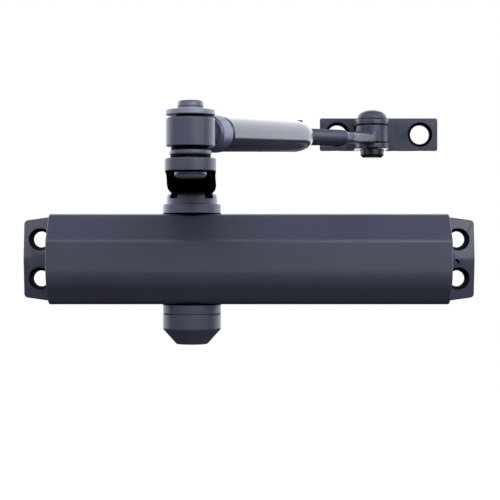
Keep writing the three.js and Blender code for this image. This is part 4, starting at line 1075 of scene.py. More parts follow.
    def build_plug(self, side: int, name: str) -> None:
        """Build an end plug, with a hexagon socket on the left and a stepped hole on the right.

        Args:
            side: 1 for the right plug, -1 for the left.
            name: the side's name.
        """
        radius = self.bore_radius - self.plug_gap
        length = self.plug_length
        if side < 0:
            half = self.plug_socket / 2
            floor = length - self.plug_socket_depth
            corners = [
                (0, 0, 0), (radius, 0, 0.5), (radius, length, 0.6), (half + 1.2, length, 0.3),
                (half, length - 0.5, 0), (half, floor, 0), (0, floor - 1.5, 0),
            ]
            rule = socket_head(floor, self.plug_socket)
        else:
            shank = self.plug_shank_hole
            head = self.plug_head_hole
            step = length - self.plug_head_depth
            corners = [
                (shank, 0, 0), (radius, 0, 0.5), (radius, length, 0.6), (head, length, 0.3),
                (head, step, 0), (shank, step, 0), (shank, 0, 0),
            ]
            rule = None
        centre = (side * (self.end - length), self.bore_y, 0)
        skin = turned(corners, centre, (side, 0, 0), 120, rule)
        piece(f"{name}_plug", [skin], PHOSPHATED_STEEL, "closer_body", f"{name}_end_plug")

    def build_valve(self, name: str) -> None:
        """Build a slotted regulating screw with its cone point.

        Args:
            name: the valve's name.
        """
        centre = middle(f"{name}_valve_screw")
        side = math.copysign(1, centre[0])
        radius = self.valve_radius
        neck = self.valve_neck
        length = self.valve_length
        corners = [
            (0, 0, 0), (radius, 3, 0.2), (radius, 9.6, 0), (neck, 9.6, 0), (neck, 10.5, 0),
            (radius, 10.5, 0), (radius, length, 0.3), (0, length, 0),
        ]
        start = (side * (self.end - length), centre[1], centre[2])
        skin = turned(corners, start, (side, 0, 0), 48)
        screw = mesh_object(f"{name}_screw", [skin], TURNED_STEEL)
        slot = rectangle((-3, -self.valve_slot), (3, self.valve_slot), 0)
        cutter = slab(
            slot, np.zeros_like(slot), self.end - 1, self.end + 1, 0.05,
            (Y_AXIS, Z_AXIS, X_AXIS) if side > 0 else (FORWARD, Z_AXIS, (-1.0, 0, 0)),
            (0, centre[1], centre[2]),
        )
        combine(screw, [mesh_object("slot", [cutter], TURNED_STEEL)], Join.CUT)
        settle(screw, f"{name}_valve", TURNED_STEEL, f"{name}_valve_screw")

    def build_power_screw(self) -> None:
        """Build the screw that loads the spring, with a hexagon socket in its head."""
        low = float(low_corner("power_adjusting_screw")[0])
        length = self.end - low
        shank = self.power_shank
        head = self.power_head
        seat = length - self.power_head_height
        half = self.power_socket / 2
        corners = [
            (0, 0, 0), (shank, 0, 0.5), (shank, seat, 0), (head, seat, 0), (head, length, 0.5),
            (half + 0.7, length, 0.1), (half, length - 0.4, 0), (half, length - 3, 0),
            (0, length - 3.8, 0),
        ]
        rule = socket_head(length - 3.5, self.power_socket)
        skin = turned(corners, (low, self.bore_y, 0), X_AXIS, 72, rule)
        piece("power_screw", [skin], PHOSPHATED_STEEL, "power_screw", "power_adjusting_screw")


# ------------------------------------------------------------------ bearings and dust cap


@dataclass
class ShaftHousing:
    """The nuts, seals and bearings on the shaft's axis, and the cap below."""

    flange_radius: float = 13.85
    hub_radius: float = 12.05
    hole_radius: float = 7.3
    spigot_radius: float = 11.7
    flange_height: float = 4.8
    hub_height: float = 4.8
    notch_width: float = 5.0
    notch_depth: float = 1.8
    notch_height: float = 2.3
    seal_pocket: float = 9.5
    upper_pocket_depth: float = 2.5
    lower_pocket_depth: float = 2.2
    cap_gap: float = 0.3
    cap_straight: float = 7.1
    cap_tip_radius: float = 7.3
    cap_wall: float = 1.8

    def build(self) -> None:
        """Build the upper nut, the lower nut and the cap, and dress what they hide."""
        self.build_upper_nut()
        self.build_lower_nut()
        self.build_cap()
        dress(TURNED_STEEL, "upper_bearing", "lower_bearing")
        dress(NITRILE, "upper_shaft_seal", "lower_shaft_seal")
        dress(PHOSPHATED_STEEL, "pinion_shaft")

    def build_upper_nut(self) -> None:
        """Build the upper nut, then cut four spanner notches in its hub's rim."""
        spigot = float(low_corner("upper_bearing_nut")[2])
        top = float(high_corner("upper_bearing_nut")[2])
        foot = top - self.flange_height - self.hub_height
        shelf = foot + self.flange_height
        pocket_floor = top - self.upper_pocket_depth
        corners = [
            (self.hole_radius, spigot, 0), (self.spigot_radius, spigot, 0.3),
            (self.spigot_radius, foot, 0), (self.flange_radius, foot, 0.5),
            (self.flange_radius, shelf, 0.7), (self.hub_radius, shelf, 0.4),
            (self.hub_radius, top - 0.9, 0.25), (self.hub_radius - 0.9, top, 0.25),
            (self.seal_pocket, top, 0.2), (self.seal_pocket, pocket_floor, 0),
            (self.hole_radius, pocket_floor, 0), (self.hole_radius, spigot, 0),
        ]
        skin = turned(corners, SHAFT_FOOT, segments=160)
        # The nut takes a lighter copy of the enamel as painted light under the arm's shade.
        nut = mesh_object("upper_nut", [skin], LIGHTENED_NUT_ENAMEL)
        half = self.notch_width / 2
        start = self.hub_radius - self.notch_depth
        outline = rectangle((start, -half), (start + 6, half), 0.4, 0)
        centre = np.broadcast_to([start + 3, 0.0], outline.shape)
        tools = []
        for quarter in range(4):
            turn = math.pi / 4 + quarter * math.pi / 2
            axes = (
                (math.cos(turn), math.sin(turn), 0), (-math.sin(turn), math.cos(turn), 0), Z_AXIS,
            )
            floor = top - self.notch_height
            skin = slab(outline, centre, floor, top + 3, 0.2, axes, SHAFT_FOOT)
            # The notches' walls take the near black as painted shade.
            tools.append(mesh_object("notch", [skin], HOLE_SHADE_BLACK))
        combine(nut, tools, Join.CUT)
        # The spigot and the flange's underside are painted near black as the shadow where the nut
        # meets the body.
        repaint(nut, HOLE_SHADE_BLACK, spigot - 1, foot + 0.5)
        settle(nut, "closer_body", LIGHTENED_NUT_ENAMEL, "upper_bearing_nut")

    def build_lower_nut(self) -> None:
        """Build the lower nut, whose lip the cap snaps over."""
        spigot = float(high_corner("lower_bearing_nut")[2])
        lip = float(low_corner("lower_bearing_nut")[2])
        foot = -(float(high_corner("housing")[2]))
        shelf = foot - self.flange_height
        lip_radius = self.flange_radius - self.cap_wall - self.cap_gap
        pocket_floor = shelf + self.lower_pocket_depth
        corners = [
            (self.hole_radius, spigot, 0), (self.spigot_radius, spigot, 0.3),
            (self.spigot_radius, foot, 0), (self.flange_radius, foot, 0.5),
            (self.flange_radius, shelf, 0.5), (lip_radius, shelf, 0),
            (lip_radius, lip, 0.4), (self.seal_pocket, lip, 0.2),
            (self.seal_pocket, pocket_floor, 0), (self.hole_radius, pocket_floor, 0),
            (self.hole_radius, spigot, 0),
        ]
        skin = turned(corners, SHAFT_FOOT, segments=160)
        nut = mesh_object("lower_nut", [skin], SATIN_ENAMEL)
        # The flange's top face and the spigot above it are painted near black as the shadow gap under
        # the body.
        repaint(nut, HOLE_SHADE_BLACK, foot - 0.5, spigot + 1)
        settle(nut, "closer_body", SATIN_ENAMEL, "lower_bearing_nut")

    def build_cap(self) -> None:
        """Build the cap: a straight rim, then a cone to a small flat tip."""
        top = float(high_corner("pinion_dust_cap")[2])
        tip = float(low_corner("pinion_dust_cap")[2])
        edge = top - self.cap_straight
        inner = self.flange_radius - self.cap_wall
        corners = [
            (0, tip, 0), (self.cap_tip_radius, tip, 1.4), (self.flange_radius, edge, 1.2),
            (self.flange_radius, top, 0.5), (inner, top, 0.2), (inner, edge, 1),
            (self.cap_tip_radius - 1, tip + self.cap_wall, 1), (0, tip + self.cap_wall, 0),
        ]
        skin = turned(corners, SHAFT_FOOT, segments=160, steps=8)
        piece("dust_cap", [skin], SATIN_ENAMEL, "closer_body", "pinion_dust_cap")


# ------------------------------------------------------------------ main arm and elbow


@dataclass
class MainArm:
    """The flat bar between the shaft and the elbow, and what holds it on the shaft."""

    half_widths: tuple[float, ...] = (10.2, 10.8, 10.35, 9.15)
    width_places: tuple[float, ...] = (0.0, 54.0, 92.5, 185.0)
    thickness: float = 4.8
    edge: float = 0.6
    square: float = 10.1
    hub_chamfer: float = 0.8
    pin_hole: float = 4.3
    washer_bore: float = 3.0
    washer_radius: float = 6.6
    screw_radius: float = 2.4
    screw_head: float = 5.2
    screw_socket: float = 5.0
    body: str = "shaft_and_main_arm"

    def build(self) -> None:
        """Build the bar with its hub, the washer and the screw."""
        low = float(low_corner("main_arm")[2])
        hub_top = float(high_corner("main_arm")[2])
        top = float(low_corner("elbow_lower_washer")[2])
        reach = ELBOW_AXIS[:2] - SHAFT_AXIS[:2]
        length = float(np.linalg.norm(reach))
        along = reach / length
        axes = ((*along, 0.0), (-along[1], along[0], 0.0), Z_AXIS)
        outline = self.outline(length)
        spine = spine_of(outline, np.zeros(2), np.array([length, 0.0]))
        bar_low = top - self.thickness
        bar = slab(outline, spine, bar_low, top, self.edge, axes, SHAFT_FOOT)
        hub_radius = self.half_widths[0]
        hub_corners = [
            (0, low, 0), (hub_radius, low, 0.3), (hub_radius, hub_top - self.hub_chamfer, 0.3),
            (hub_radius - self.hub_chamfer, hub_top, 0.3), (0, hub_top, 0),
        ]
        arm = mesh_object("main_arm_bar", [bar], SATIN_ENAMEL)
        hub = turned(hub_corners, SHAFT_FOOT)
        combine(arm, [mesh_object("hub", [hub], SATIN_ENAMEL)], Join.ADD)
        half = self.square / 2
        square = rectangle((-half, -half), (half, half), 1)
        hole = slab(square, np.zeros_like(square), low - 2, hub_top + 2, 0.1, PLAN, SHAFT_FOOT)
        tools = [
            mesh_object("square_hole", [hole], SATIN_ENAMEL),
            drill("pin_hole", self.pin_hole, (low - 5, top + 5), ELBOW_FOOT, finish=SATIN_ENAMEL),
        ]
        combine(arm, tools, Join.CUT)
        # The bar's downward faces are painted near black as shade.
        repaint(arm, PAINTED_SHADE_UNDERSIDE, bar_low - 0.3, bar_low + 0.3, (-1.1, -0.7))
        settle(arm, self.body, SATIN_ENAMEL, "main_arm")
        self.build_fastening(hub_top)

    def outline(self, length: float) -> Array:
        """Draw the bar's plan.

        Each side's half width is the cubic through four widths along the bar, and each end is a
        half circle of the width there.

        Args:
            length: from the shaft's axis to the elbow's.

        Returns:
            The plan's points, anticlockwise.
        """
        cubic = np.polyfit(self.width_places, self.half_widths, 3)
        x = np.linspace(0, length, 60)
        width = np.polyval(cubic, x)
        turn = np.linspace(-np.pi / 2, np.pi / 2, 33)[1:-1]
        far = width[-1] * np.stack([np.cos(turn), np.sin(turn)], -1) + [length, 0]
        near = -width[0] * np.stack([np.cos(turn), np.sin(turn)], -1)
        lower = np.stack([x, -width], -1)
        upper = np.stack([x, width], -1)[::-1]
        return np.vstack([lower, far, upper, near])

    def build_fastening(self, hub_top: float) -> None:
        """Build the washer and the socket screw on the shaft's end.

        Args:
            hub_top: the top of the arm's hub, which the washer lies on.
        """
        top = float(high_corner("arm_screw")[2])
        washer_top = float(high_corner("arm_lock_washer")[2])
        bore = self.washer_bore
        rim = self.washer_radius
        corners = [
            (bore, hub_top, 0), (rim, hub_top, 0.3), (rim, washer_top, 0.3),
            (bore, washer_top, 0), (bore, hub_top, 0),
        ]
        washer = turned(corners, SHAFT_FOOT)
        piece("arm_washer", [washer], PHOSPHATED_STEEL, self.body, "arm_lock_washer")
        foot = float(low_corner("arm_screw")[2])
        radius = self.screw_radius
        head = self.screw_head
        half = self.screw_socket / 2
        corners = [
            (0, foot, 0), (radius, foot, 0.4), (radius, washer_top, 0), (head, washer_top, 0.2),
            (head, top, 0.6), (half + 0.7, top, 0.1), (half, top - 0.4, 0), (half, top - 2.5, 0),
            (0, top - 3.2, 0),
        ]
        rule = socket_head(top - 3, self.screw_socket)
        skin = turned(corners, SHAFT_FOOT, segments=72, rule=rule)
        piece("arm_fixing_screw", [skin], PHOSPHATED_STEEL, self.body, "arm_screw")


@dataclass
class ElbowStack:
    """The pin, washers and screw that make the elbow's hinge, bottom to top."""

    body: str = "shaft_and_main_arm"
    pin_radius: float = 4.0
    sleeve: float = 4.3
    foot_radius: float = 5.7
    foot_height: float = 2.0
    thread_hole: float = 2.3
    thread_depth: float = 14.0
    cup_boss: float = 4.9
    cup_boss_height: float = 0.9
    screw_radius: float = 2.0
    head_radius: float = 4.65

    def build(self) -> None:
        """Build each piece of the stack."""
        self.build_pin()
        self.ring("lower_washer", "elbow_lower_washer", BLACK_OXIDE_AND_HOLE_SHADE, 0.3)
        self.ring("spacer_ring", "elbow_spacer_ring", DULL_ZINC, 0.5)
        self.ring("upper_washer", "elbow_upper_washer", BLACK_OXIDE_AND_HOLE_SHADE, 0.3)
        self.ring("neck_washer", "elbow_neck_washer", BLACK_OXIDE_AND_HOLE_SHADE, 0.15)
        self.build_cup()
        self.build_screw()

    def ring(self, name: str, node: str, finish: Finish, edge: float) -> None:
        """Build one plain ring with rounded rims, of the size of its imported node.

        Args:
            name: the ring's name.
            node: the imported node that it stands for.
            finish: its finish.
            edge: the radius of its rims.
        """
        low = low_corner(node)
        high = high_corner(node)
        radius = (high[0] - low[0]) / 2
        corners = [
            (self.sleeve, low[2], 0), (radius, low[2], edge), (radius, high[2], edge),
            (self.sleeve, high[2], 0), (self.sleeve, low[2], 0),
        ]
        skin = turned(corners, ELBOW_FOOT, segments=128)
        piece(name, [skin], finish, self.body, node)

    def build_pin(self) -> None:
        """Build the pin, whose rounded foot shows below the arm."""
        low = float(low_corner("elbow_pin")[2])
        top = float(high_corner("elbow_pin")[2])
        shelf = low + self.foot_height
        foot = filleted(
            [(0, low, 0), (self.foot_radius, low, 1.7), (self.foot_radius, shelf, 0)], False, 12
        )
        hole = self.thread_hole
        floor = top - self.thread_depth
        shank = np.array(
            [[self.pin_radius, shelf], [self.pin_radius, top], [hole, top], [hole, floor], [0, floor]]
        )
        skin = lathe(np.vstack([foot, shank]), ELBOW_FOOT)
        pin = mesh_object("elbow_pivot_pin", [skin], PIN_ENAMEL)
        # The foot's rounded rim, where it faces down and out, is painted bright as a highlight line.
        repaint(pin, SATIN_ZINC_AND_HIGHLIGHT, low, shelf, (-0.93, -0.45))
        settle(pin, self.body, PIN_ENAMEL, "elbow_pin")

    def build_cup(self) -> None:
        """Build the flat washer with its raised middle."""
        low = float(low_corner("elbow_cup_washer")[2])
        high = float(high_corner("elbow_cup_washer")[2])
        radius = float(high_corner("elbow_cup_washer")[0] - ELBOW_AXIS[0])
        shelf = high - self.cup_boss_height
        bore = self.thread_hole
        boss = self.cup_boss
        corners = [
            (bore, low, 0), (radius, low, 0.25), (radius, shelf, 0.3), (boss, shelf, 0.5),
            (boss, high, 0.3), (bore, high, 0), (bore, low, 0),
        ]
        skin = turned(corners, ELBOW_FOOT, segments=128)
        piece("cup_washer", [skin], SATIN_ZINC_AND_HIGHLIGHT, self.body, "elbow_cup_washer")

    def build_screw(self) -> None:
        """Build the screw, whose low pan head has a crowned top and a rounded rim."""
        low = float(low_corner("elbow_screw")[2])
        top = float(high_corner("elbow_screw")[2])
        seat = float(high_corner("elbow_cup_washer")[2])
        radius = self.head_radius
        shank = self.screw_radius
        corners = [
            (0, low, 0), (shank, low, 0), (shank, seat, 0), (radius - 0.2, seat, 0),
            (radius, seat + 0.5, 0.2), (radius - 0.15, top - 0.2, 0.9), (1.5, top, 1.0),
            (0, top, 0),
        ]
        skin = turned(corners, ELBOW_FOOT)
        piece("elbow_top_screw", [skin], MACHINED_STEEL, self.body, "elbow_screw")


# ------------------------------------------------------------------ forearm


@dataclass
class Forearm:
    """The knuckle, lock collar and tube of the forearm. Lengths run from the elbow's axis."""

    body: str = "forearm"
    boss_radius: float = 8.7
    boss_edge: float = 0.8
    boss_gap: float = 0.2
    bore: float = 4.3
    neck_radius: float = 4.5
    neck_end: float = 13.4
    stud_radius: float = 4.0
    stud_end: float = 44.0
    collar_start: float = 13.4
    collar_end: float = 23.2
    collar_radius: float = 6.9
    collar_chamfer: float = 0.8
    tube_radius: float = 6.7
    tube_chamfer: float = 1.0
    tube_start: float = 23.5
    taper_start: float = 99.0
    tube_end: float = 112.0
    tube_end_radius: float = 4.4
    rod_hole: float = 3.9
    set_screw_at: float = 108.0
    set_screw_radius: float = 1.5
    set_screw_bore: float = 1.8
    set_screw_top: float = 6.8
    set_screw_socket: float = 1.5
    root: Array = field(init=False)

    def __post_init__(self) -> None:
        """Take the place that the frame sets."""
        self.root = forearm_root()

    def build(self) -> None:
        """Build the knuckle, the collar, the tube and its set screw."""
        self.build_knuckle()
        self.build_collar()
        self.build_tube()
        self.build_set_screw()

    def build_knuckle(self) -> None:
        """Build the upright boss round the elbow's pin with the neck that leaves it."""
        low = float(low_corner("forearm_knuckle")[2])
        top = float(low_corner("elbow_neck_washer")[2]) - self.boss_gap
        radius = self.boss_radius
        boss = [
            (self.bore, low, 0), (radius, low, 0.3), (radius, top, self.boss_edge),
            (self.bore, top, 0), (self.bore, low, 0),
        ]
        start = 6.0
        neck = [
            (0, start, 0), (self.neck_radius + 1.6, start, 0), (self.neck_radius + 1.2, 8.2, 2.0),
            (self.neck_radius, 10.2, 2.0), (self.neck_radius, self.neck_end, 0),
            (self.stud_radius, self.neck_end, 0), (self.stud_radius, self.stud_end, 0.4),
            (0, self.stud_end, 0),
        ]
        upright = turned(boss, ELBOW_FOOT, segments=128, steps=8)
        leaving = turned(neck, self.root, ROD_DIRECTION)
        knuckle = mesh_object("knuckle", [upright], SATIN_ENAMEL)
        combine(knuckle, [mesh_object("neck", [leaving], SATIN_ENAMEL)], Join.ADD)
        settle(knuckle, self.body, SATIN_ENAMEL, "forearm_knuckle")

    def build_collar(self) -> None:
        """Build the collar that locks the tube on the knuckle's stud."""
        radius = self.collar_radius
        mouth = radius - self.collar_chamfer
        start = self.collar_start
        end = self.collar_end
        corners = [
            (self.bore, start, 0), (mouth, start, 0.3), (radius, start + 0.9, 0.4),
            (radius, end - 0.9, 0.4), (mouth, end, 0.3), (self.bore, end, 0), (self.bore, start, 0),
        ]
        skin = turned(corners, self.root, ROD_DIRECTION)
        piece("lock_collar", [skin], OILED_STEEL, self.body, "forearm_lock_collar")

    def build_tube(self) -> None:
        """Build the tube: straight, then closing in on the rod along a quarter of an ellipse."""
        turn = np.linspace(0, np.pi / 2, 25)
        reach = self.tube_end - self.taper_start
        drop = self.tube_radius - self.tube_end_radius
        taper = np.stack(
            [self.tube_end_radius + drop * np.cos(turn), self.taper_start + reach * np.sin(turn)], -1
        )
        start = filleted(
            [
                (self.bore, self.tube_start, 0),
                (self.tube_radius - self.tube_chamfer, self.tube_start, 0.3),
                (self.tube_radius, self.tube_start + self.tube_chamfer, 0.6),
                (self.tube_radius, 60, 0),
            ],
            False,
        )
        hole = np.array(
            [[self.rod_hole, self.tube_end], [self.rod_hole, 56], [self.bore, 46],
             [self.bore, self.tube_start]]
        )
        profile = np.vstack([start, taper, hole])
        tube = mesh_object(
            "forearm_sleeve", [lathe(profile, self.root, ROD_DIRECTION, 128)], GLOSS_ENAMEL
        )
        up, centre = self.set_screw_place()
        tool = drill("set_screw_bore", self.set_screw_bore, (0, 14), centre, up, 40)
        combine(tube, [tool], Join.CUT)
        settle(tube, self.body, GLOSS_ENAMEL, "forearm_tube")

    def set_screw_place(self) -> tuple[Array, Array]:
        """Give the set screw's upward direction and the point of the tube's axis under it."""
        up, _, along = rising_axes()
        return up, self.root + along * self.set_screw_at

    def build_set_screw(self) -> None:
        """Build the headless screw that grips the rod, with a small hexagon socket."""
        up, centre = self.set_screw_place()
        radius = self.set_screw_radius
        half = self.set_screw_socket / 2
        foot = self.rod_hole + 0.1
        top = self.set_screw_top
        corners = [
            (0, foot, 0), (radius, foot, 0.2), (radius, top, 0.25), (half + 0.1, top, 0.1),
            (half, top - 0.2, 0), (half, top - 1.2, 0), (0, top - 1.4, 0),
        ]
        rule = socket_head(top - 1.3, self.set_screw_socket)
        skin = turned(corners, centre, up, 48, rule)
        piece("set_screw", [skin], BLACK_OXIDE_AND_HOLE_SHADE, self.body, "tube_set_screw")


@dataclass
class AdjustingRod:
    """The threaded rod with its flat tongue and the eye round the shoe's pivot."""

    body: str = "rod"
    radius: float = 3.6
    thread_pitch: float = 1.25
    thread_depth: float = 0.42
    start: float = 78.0
    tongue_start: float = 168.0
    tongue_end: float = 197.0
    tongue_half_width: float = 4.8
    tongue_half_thickness: float = 2.3
    tongue_reach: float = 12.5
    blend_length: float = 7.0
    eye_radius: float = 7.4
    eye_bore: float = 4.4
    samples_per_turn: int = 10
    columns: int = 72

    def build(self) -> None:
        """Build the rod, tongue and eye as one piece."""
        low = float(low_corner("shoe_bush")[2])
        high = float(high_corner("shoe_bush")[2])
        bore = self.eye_bore
        eye = [
            (bore, low, 0), (self.eye_radius, low, 0.5), (self.eye_radius, high, 0.5),
            (bore, high, 0), (bore, low, 0),
        ]
        along = np.array([ROD_DIRECTION[0], ROD_DIRECTION[1]])
        along /= np.linalg.norm(along)
        half = self.tongue_half_width
        foot = low + 0.3
        near = -bore - 1.5
        far = -self.tongue_reach
        outline = rectangle((far, -half), (near, half), 0.5, 0)
        spine = np.broadcast_to([(near + far) / 2, 0.0], outline.shape)
        axes = ((*along, 0.0), (-along[1], along[0], 0.0), Z_AXIS)
        top = foot + 2 * self.tongue_half_thickness
        flat = slab(outline, spine, foot, top, 0.6, axes, SHOE_FOOT)
        skins = [self.shank(), turned(eye, SHOE_FOOT), flat]
        piece("threaded_rod", skins, ROLLED_STEEL, self.body, "adjusting_rod")
        dress(TURNED_STEEL, "shoe_bush")

    def shank(self) -> Skin:
        """Build the rod's long surface.

        Along the thread the radius falls from the crest by the depth times a triangle wave of
        the place along the rod over the pitch, less the angle's share of a turn, so the crests
        wind round as one helix. Past the thread the round section changes smoothly to a
        rounded rectangle, the superellipse of power six with the tongue's half width and half
        thickness.

        Returns:
            The closed surface.
        """
        root = forearm_root()
        up, side, along = rising_axes()
        thread_end = self.tongue_start - self.blend_length
        turns = (thread_end - self.start) / self.thread_pitch
        threaded = np.linspace(self.start, thread_end, int(turns * self.samples_per_turn))
        plain = np.linspace(thread_end, self.tongue_end, 40)[1:]
        place = np.concatenate([threaded, plain])[:, None]
        angle = np.linspace(0, TAU, self.columns, endpoint=False)[None, :]
        wave = 2 * np.abs((place / self.thread_pitch - angle / TAU) % 1 - 0.5)
        fade = np.clip((thread_end - place) / 1.5, 0, 1) * np.clip((place - self.start) / 1, 0, 1)
        round_radius = self.radius - self.thread_depth * np.clip(wave * 1.5 - 0.25, 0, 1) * fade
        share = np.clip((place - thread_end) / self.blend_length, 0, 1)
        share = share * share * (3 - 2 * share)
        cosine = np.cos(angle)
        sine = np.sin(angle)
        power = 6.0
        flat_radius = (
            np.abs(cosine / self.tongue_half_width) ** power
            + np.abs(sine / self.tongue_half_thickness) ** power
        ) ** (-1 / power)
        radius = round_radius * (1 - share) + flat_radius * share
        ring = cosine[..., None] * side + sine[..., None] * up
        points = root + place[..., None] * along + radius[..., None] * ring
        first = np.broadcast_to(root + self.start * along, points[:1].shape)
        last = np.broadcast_to(root + self.tongue_end * along, points[:1].shape)
        return Skin(np.concatenate([first, points, last]))


# ------------------------------------------------------------------ frame shoe


@dataclass
class FrameShoe:
    """The bracket that is screwed to the frame, with its two ears and its rivet."""

    body: str = "shoe"
    plate_thickness: float = 3.5
    corner: float = 1.0
    edge: float = 0.5
    hole_radius: float = 4.65
    sink_radius: float = 6.0
    sink_depth: float = 1.4
    hole_from_end: float = 8.6
    ear_thickness: float = 2.4
    ear_radius: float = 8.0
    ear_gap: float = 0.3
    rivet_hole: float = 3.2
    rivet_shank: float = 2.9
    rivet_gap: float = 0.2
    dome_radius: float = 6.9
    dome_rim: float = 0.9
    foot_radius: float = 5.7
    foot_chamfer: float = 1.3

    def build(self) -> None:
        """Build the bracket and its rivet."""
        low = low_corner("shoe_bracket")
        high = high_corner("shoe_bracket")
        back = float(high[1])
        outline = rectangle((low[0], low[2]), (high[0], high[2]), self.corner)
        outline = densified(outline, 3.0)
        mid = (low[2] + high[2]) / 2
        spine = spine_of(outline, np.array([low[0] + 8, mid]), np.array([high[0] - 8, mid]))
        plate = slab(outline, spine, -back, self.plate_thickness - back, self.edge, FRONT)
        bracket = mesh_object("frame_shoe", [plate], SHOE_ENAMEL)
        bush_low = float(low_corner("shoe_bush")[2])
        bush_high = float(high_corner("shoe_bush")[2])
        levels = (low[2], bush_high + self.ear_gap)
        combine(bracket, [self.ear(float(level), back) for level in levels], Join.ADD)
        tools = [
            self.fixing(float(x), float(mid), back)
            for x in (low[0] + self.hole_from_end, high[0] - self.hole_from_end)
        ]
        span = (bush_low - 9, bush_high + 9)
        tools.append(
            drill("rivet_hole", self.rivet_hole, span, SHOE_FOOT, segments=64, finish=SHOE_ENAMEL)
        )
        combine(bracket, tools, Join.CUT)
        settle(bracket, self.body, SHOE_ENAMEL, "shoe_bracket")
        self.build_rivet()

    def ear(self, level: float, back: float) -> bpy.types.Object:
        """Build one ear: a plate that runs from the shoe's plate to a half circle.

        Args:
            level: the height of the ear's underside.
            back: how far forward the shoe's back lies.

        Returns:
            The ear, still to be joined.
        """
        radius = self.ear_radius
        root = back - SHOE_AXIS[1] - self.plate_thickness / 2
        turn = np.linspace(math.pi, TAU, 41)
        nose = radius * np.stack([np.cos(turn), np.sin(turn)], -1)
        outline = densified(np.vstack([nose, [[radius, root]], [[-radius, root]]]), 2.0)
        spine = spine_of(outline, np.zeros(2), np.array([0.0, root - 2]))
        skin = slab(outline, spine, level, level + self.ear_thickness, 0.4, PLAN, SHOE_FOOT)
        return mesh_object("ear", [skin], SHOE_ENAMEL)

    def fixing(self, x: float, z: float, back: float) -> bpy.types.Object:
        """Build the cutter for one of the shoe's screw holes.

        Args:
            x: the hole's place across.
            z: its height.
            back: how far forward the shoe's back lies.

        Returns:
            The cutter.
        """
        front = self.plate_thickness - back
        corners = [
            (0, -3, 0), (self.hole_radius, -3, 0), (self.hole_radius, front - self.sink_depth, 0),
            (self.sink_radius, front - 0.2, 0), (self.sink_radius + 0.2, front + 3, 0),
            (0, front + 3, 0),
        ]
        # The shoe's fixing holes take the near black on their walls as painted shade.
        return mesh_object("shoe_fixing", [turned(corners, (x, 0, z), FORWARD, 72)], BLACK_OXIDE_AND_HOLE_SHADE)

    def build_rivet(self) -> None:
        """Build the pivot rivet: a low dome above, a chamfered button below."""
        low = float(low_corner("shoe_pivot_rivet")[2])
        top = float(high_corner("shoe_pivot_rivet")[2])
        bush_high = float(high_corner("shoe_bush")[2])
        ear_top = bush_high + self.ear_gap + self.ear_thickness + self.rivet_gap
        ear_low = float(low_corner("shoe_bracket")[2]) - self.rivet_gap
        turn = np.linspace(0, np.pi / 2, 20)
        rim = self.dome_rim
        chamfer = self.foot_chamfer
        shank = self.rivet_shank
        dome = np.stack(
            [self.dome_radius * np.cos(turn), ear_top + rim + (top - ear_top - rim) * np.sin(turn)],
            -1,
        )
        foot = filleted(
            [
                (0, low, 0), (self.foot_radius - chamfer, low, 0.5),
                (self.foot_radius, low + chamfer, 0.5), (self.foot_radius, ear_low, 0.3),
                (shank, ear_low, 0), (shank, ear_top, 0), (self.dome_radius, ear_top, 0.3),
                (self.dome_radius, ear_top + rim, 0),
            ],
            False,
        )
        skin = lathe(np.vstack([foot[:-1], dome]), SHOE_FOOT, segments=96)
        rivet = mesh_object("shoe_rivet", [skin], SATIN_ENAMEL)
        # The rivet's foot below the lower ear is painted near black as shade.
        repaint(rivet, RIVET_FOOT_SHADE, low - 1, ear_low + 1)
        settle(rivet, self.body, SATIN_ENAMEL, "shoe_pivot_rivet")


# ------------------------------------------------------------------ piston and spring


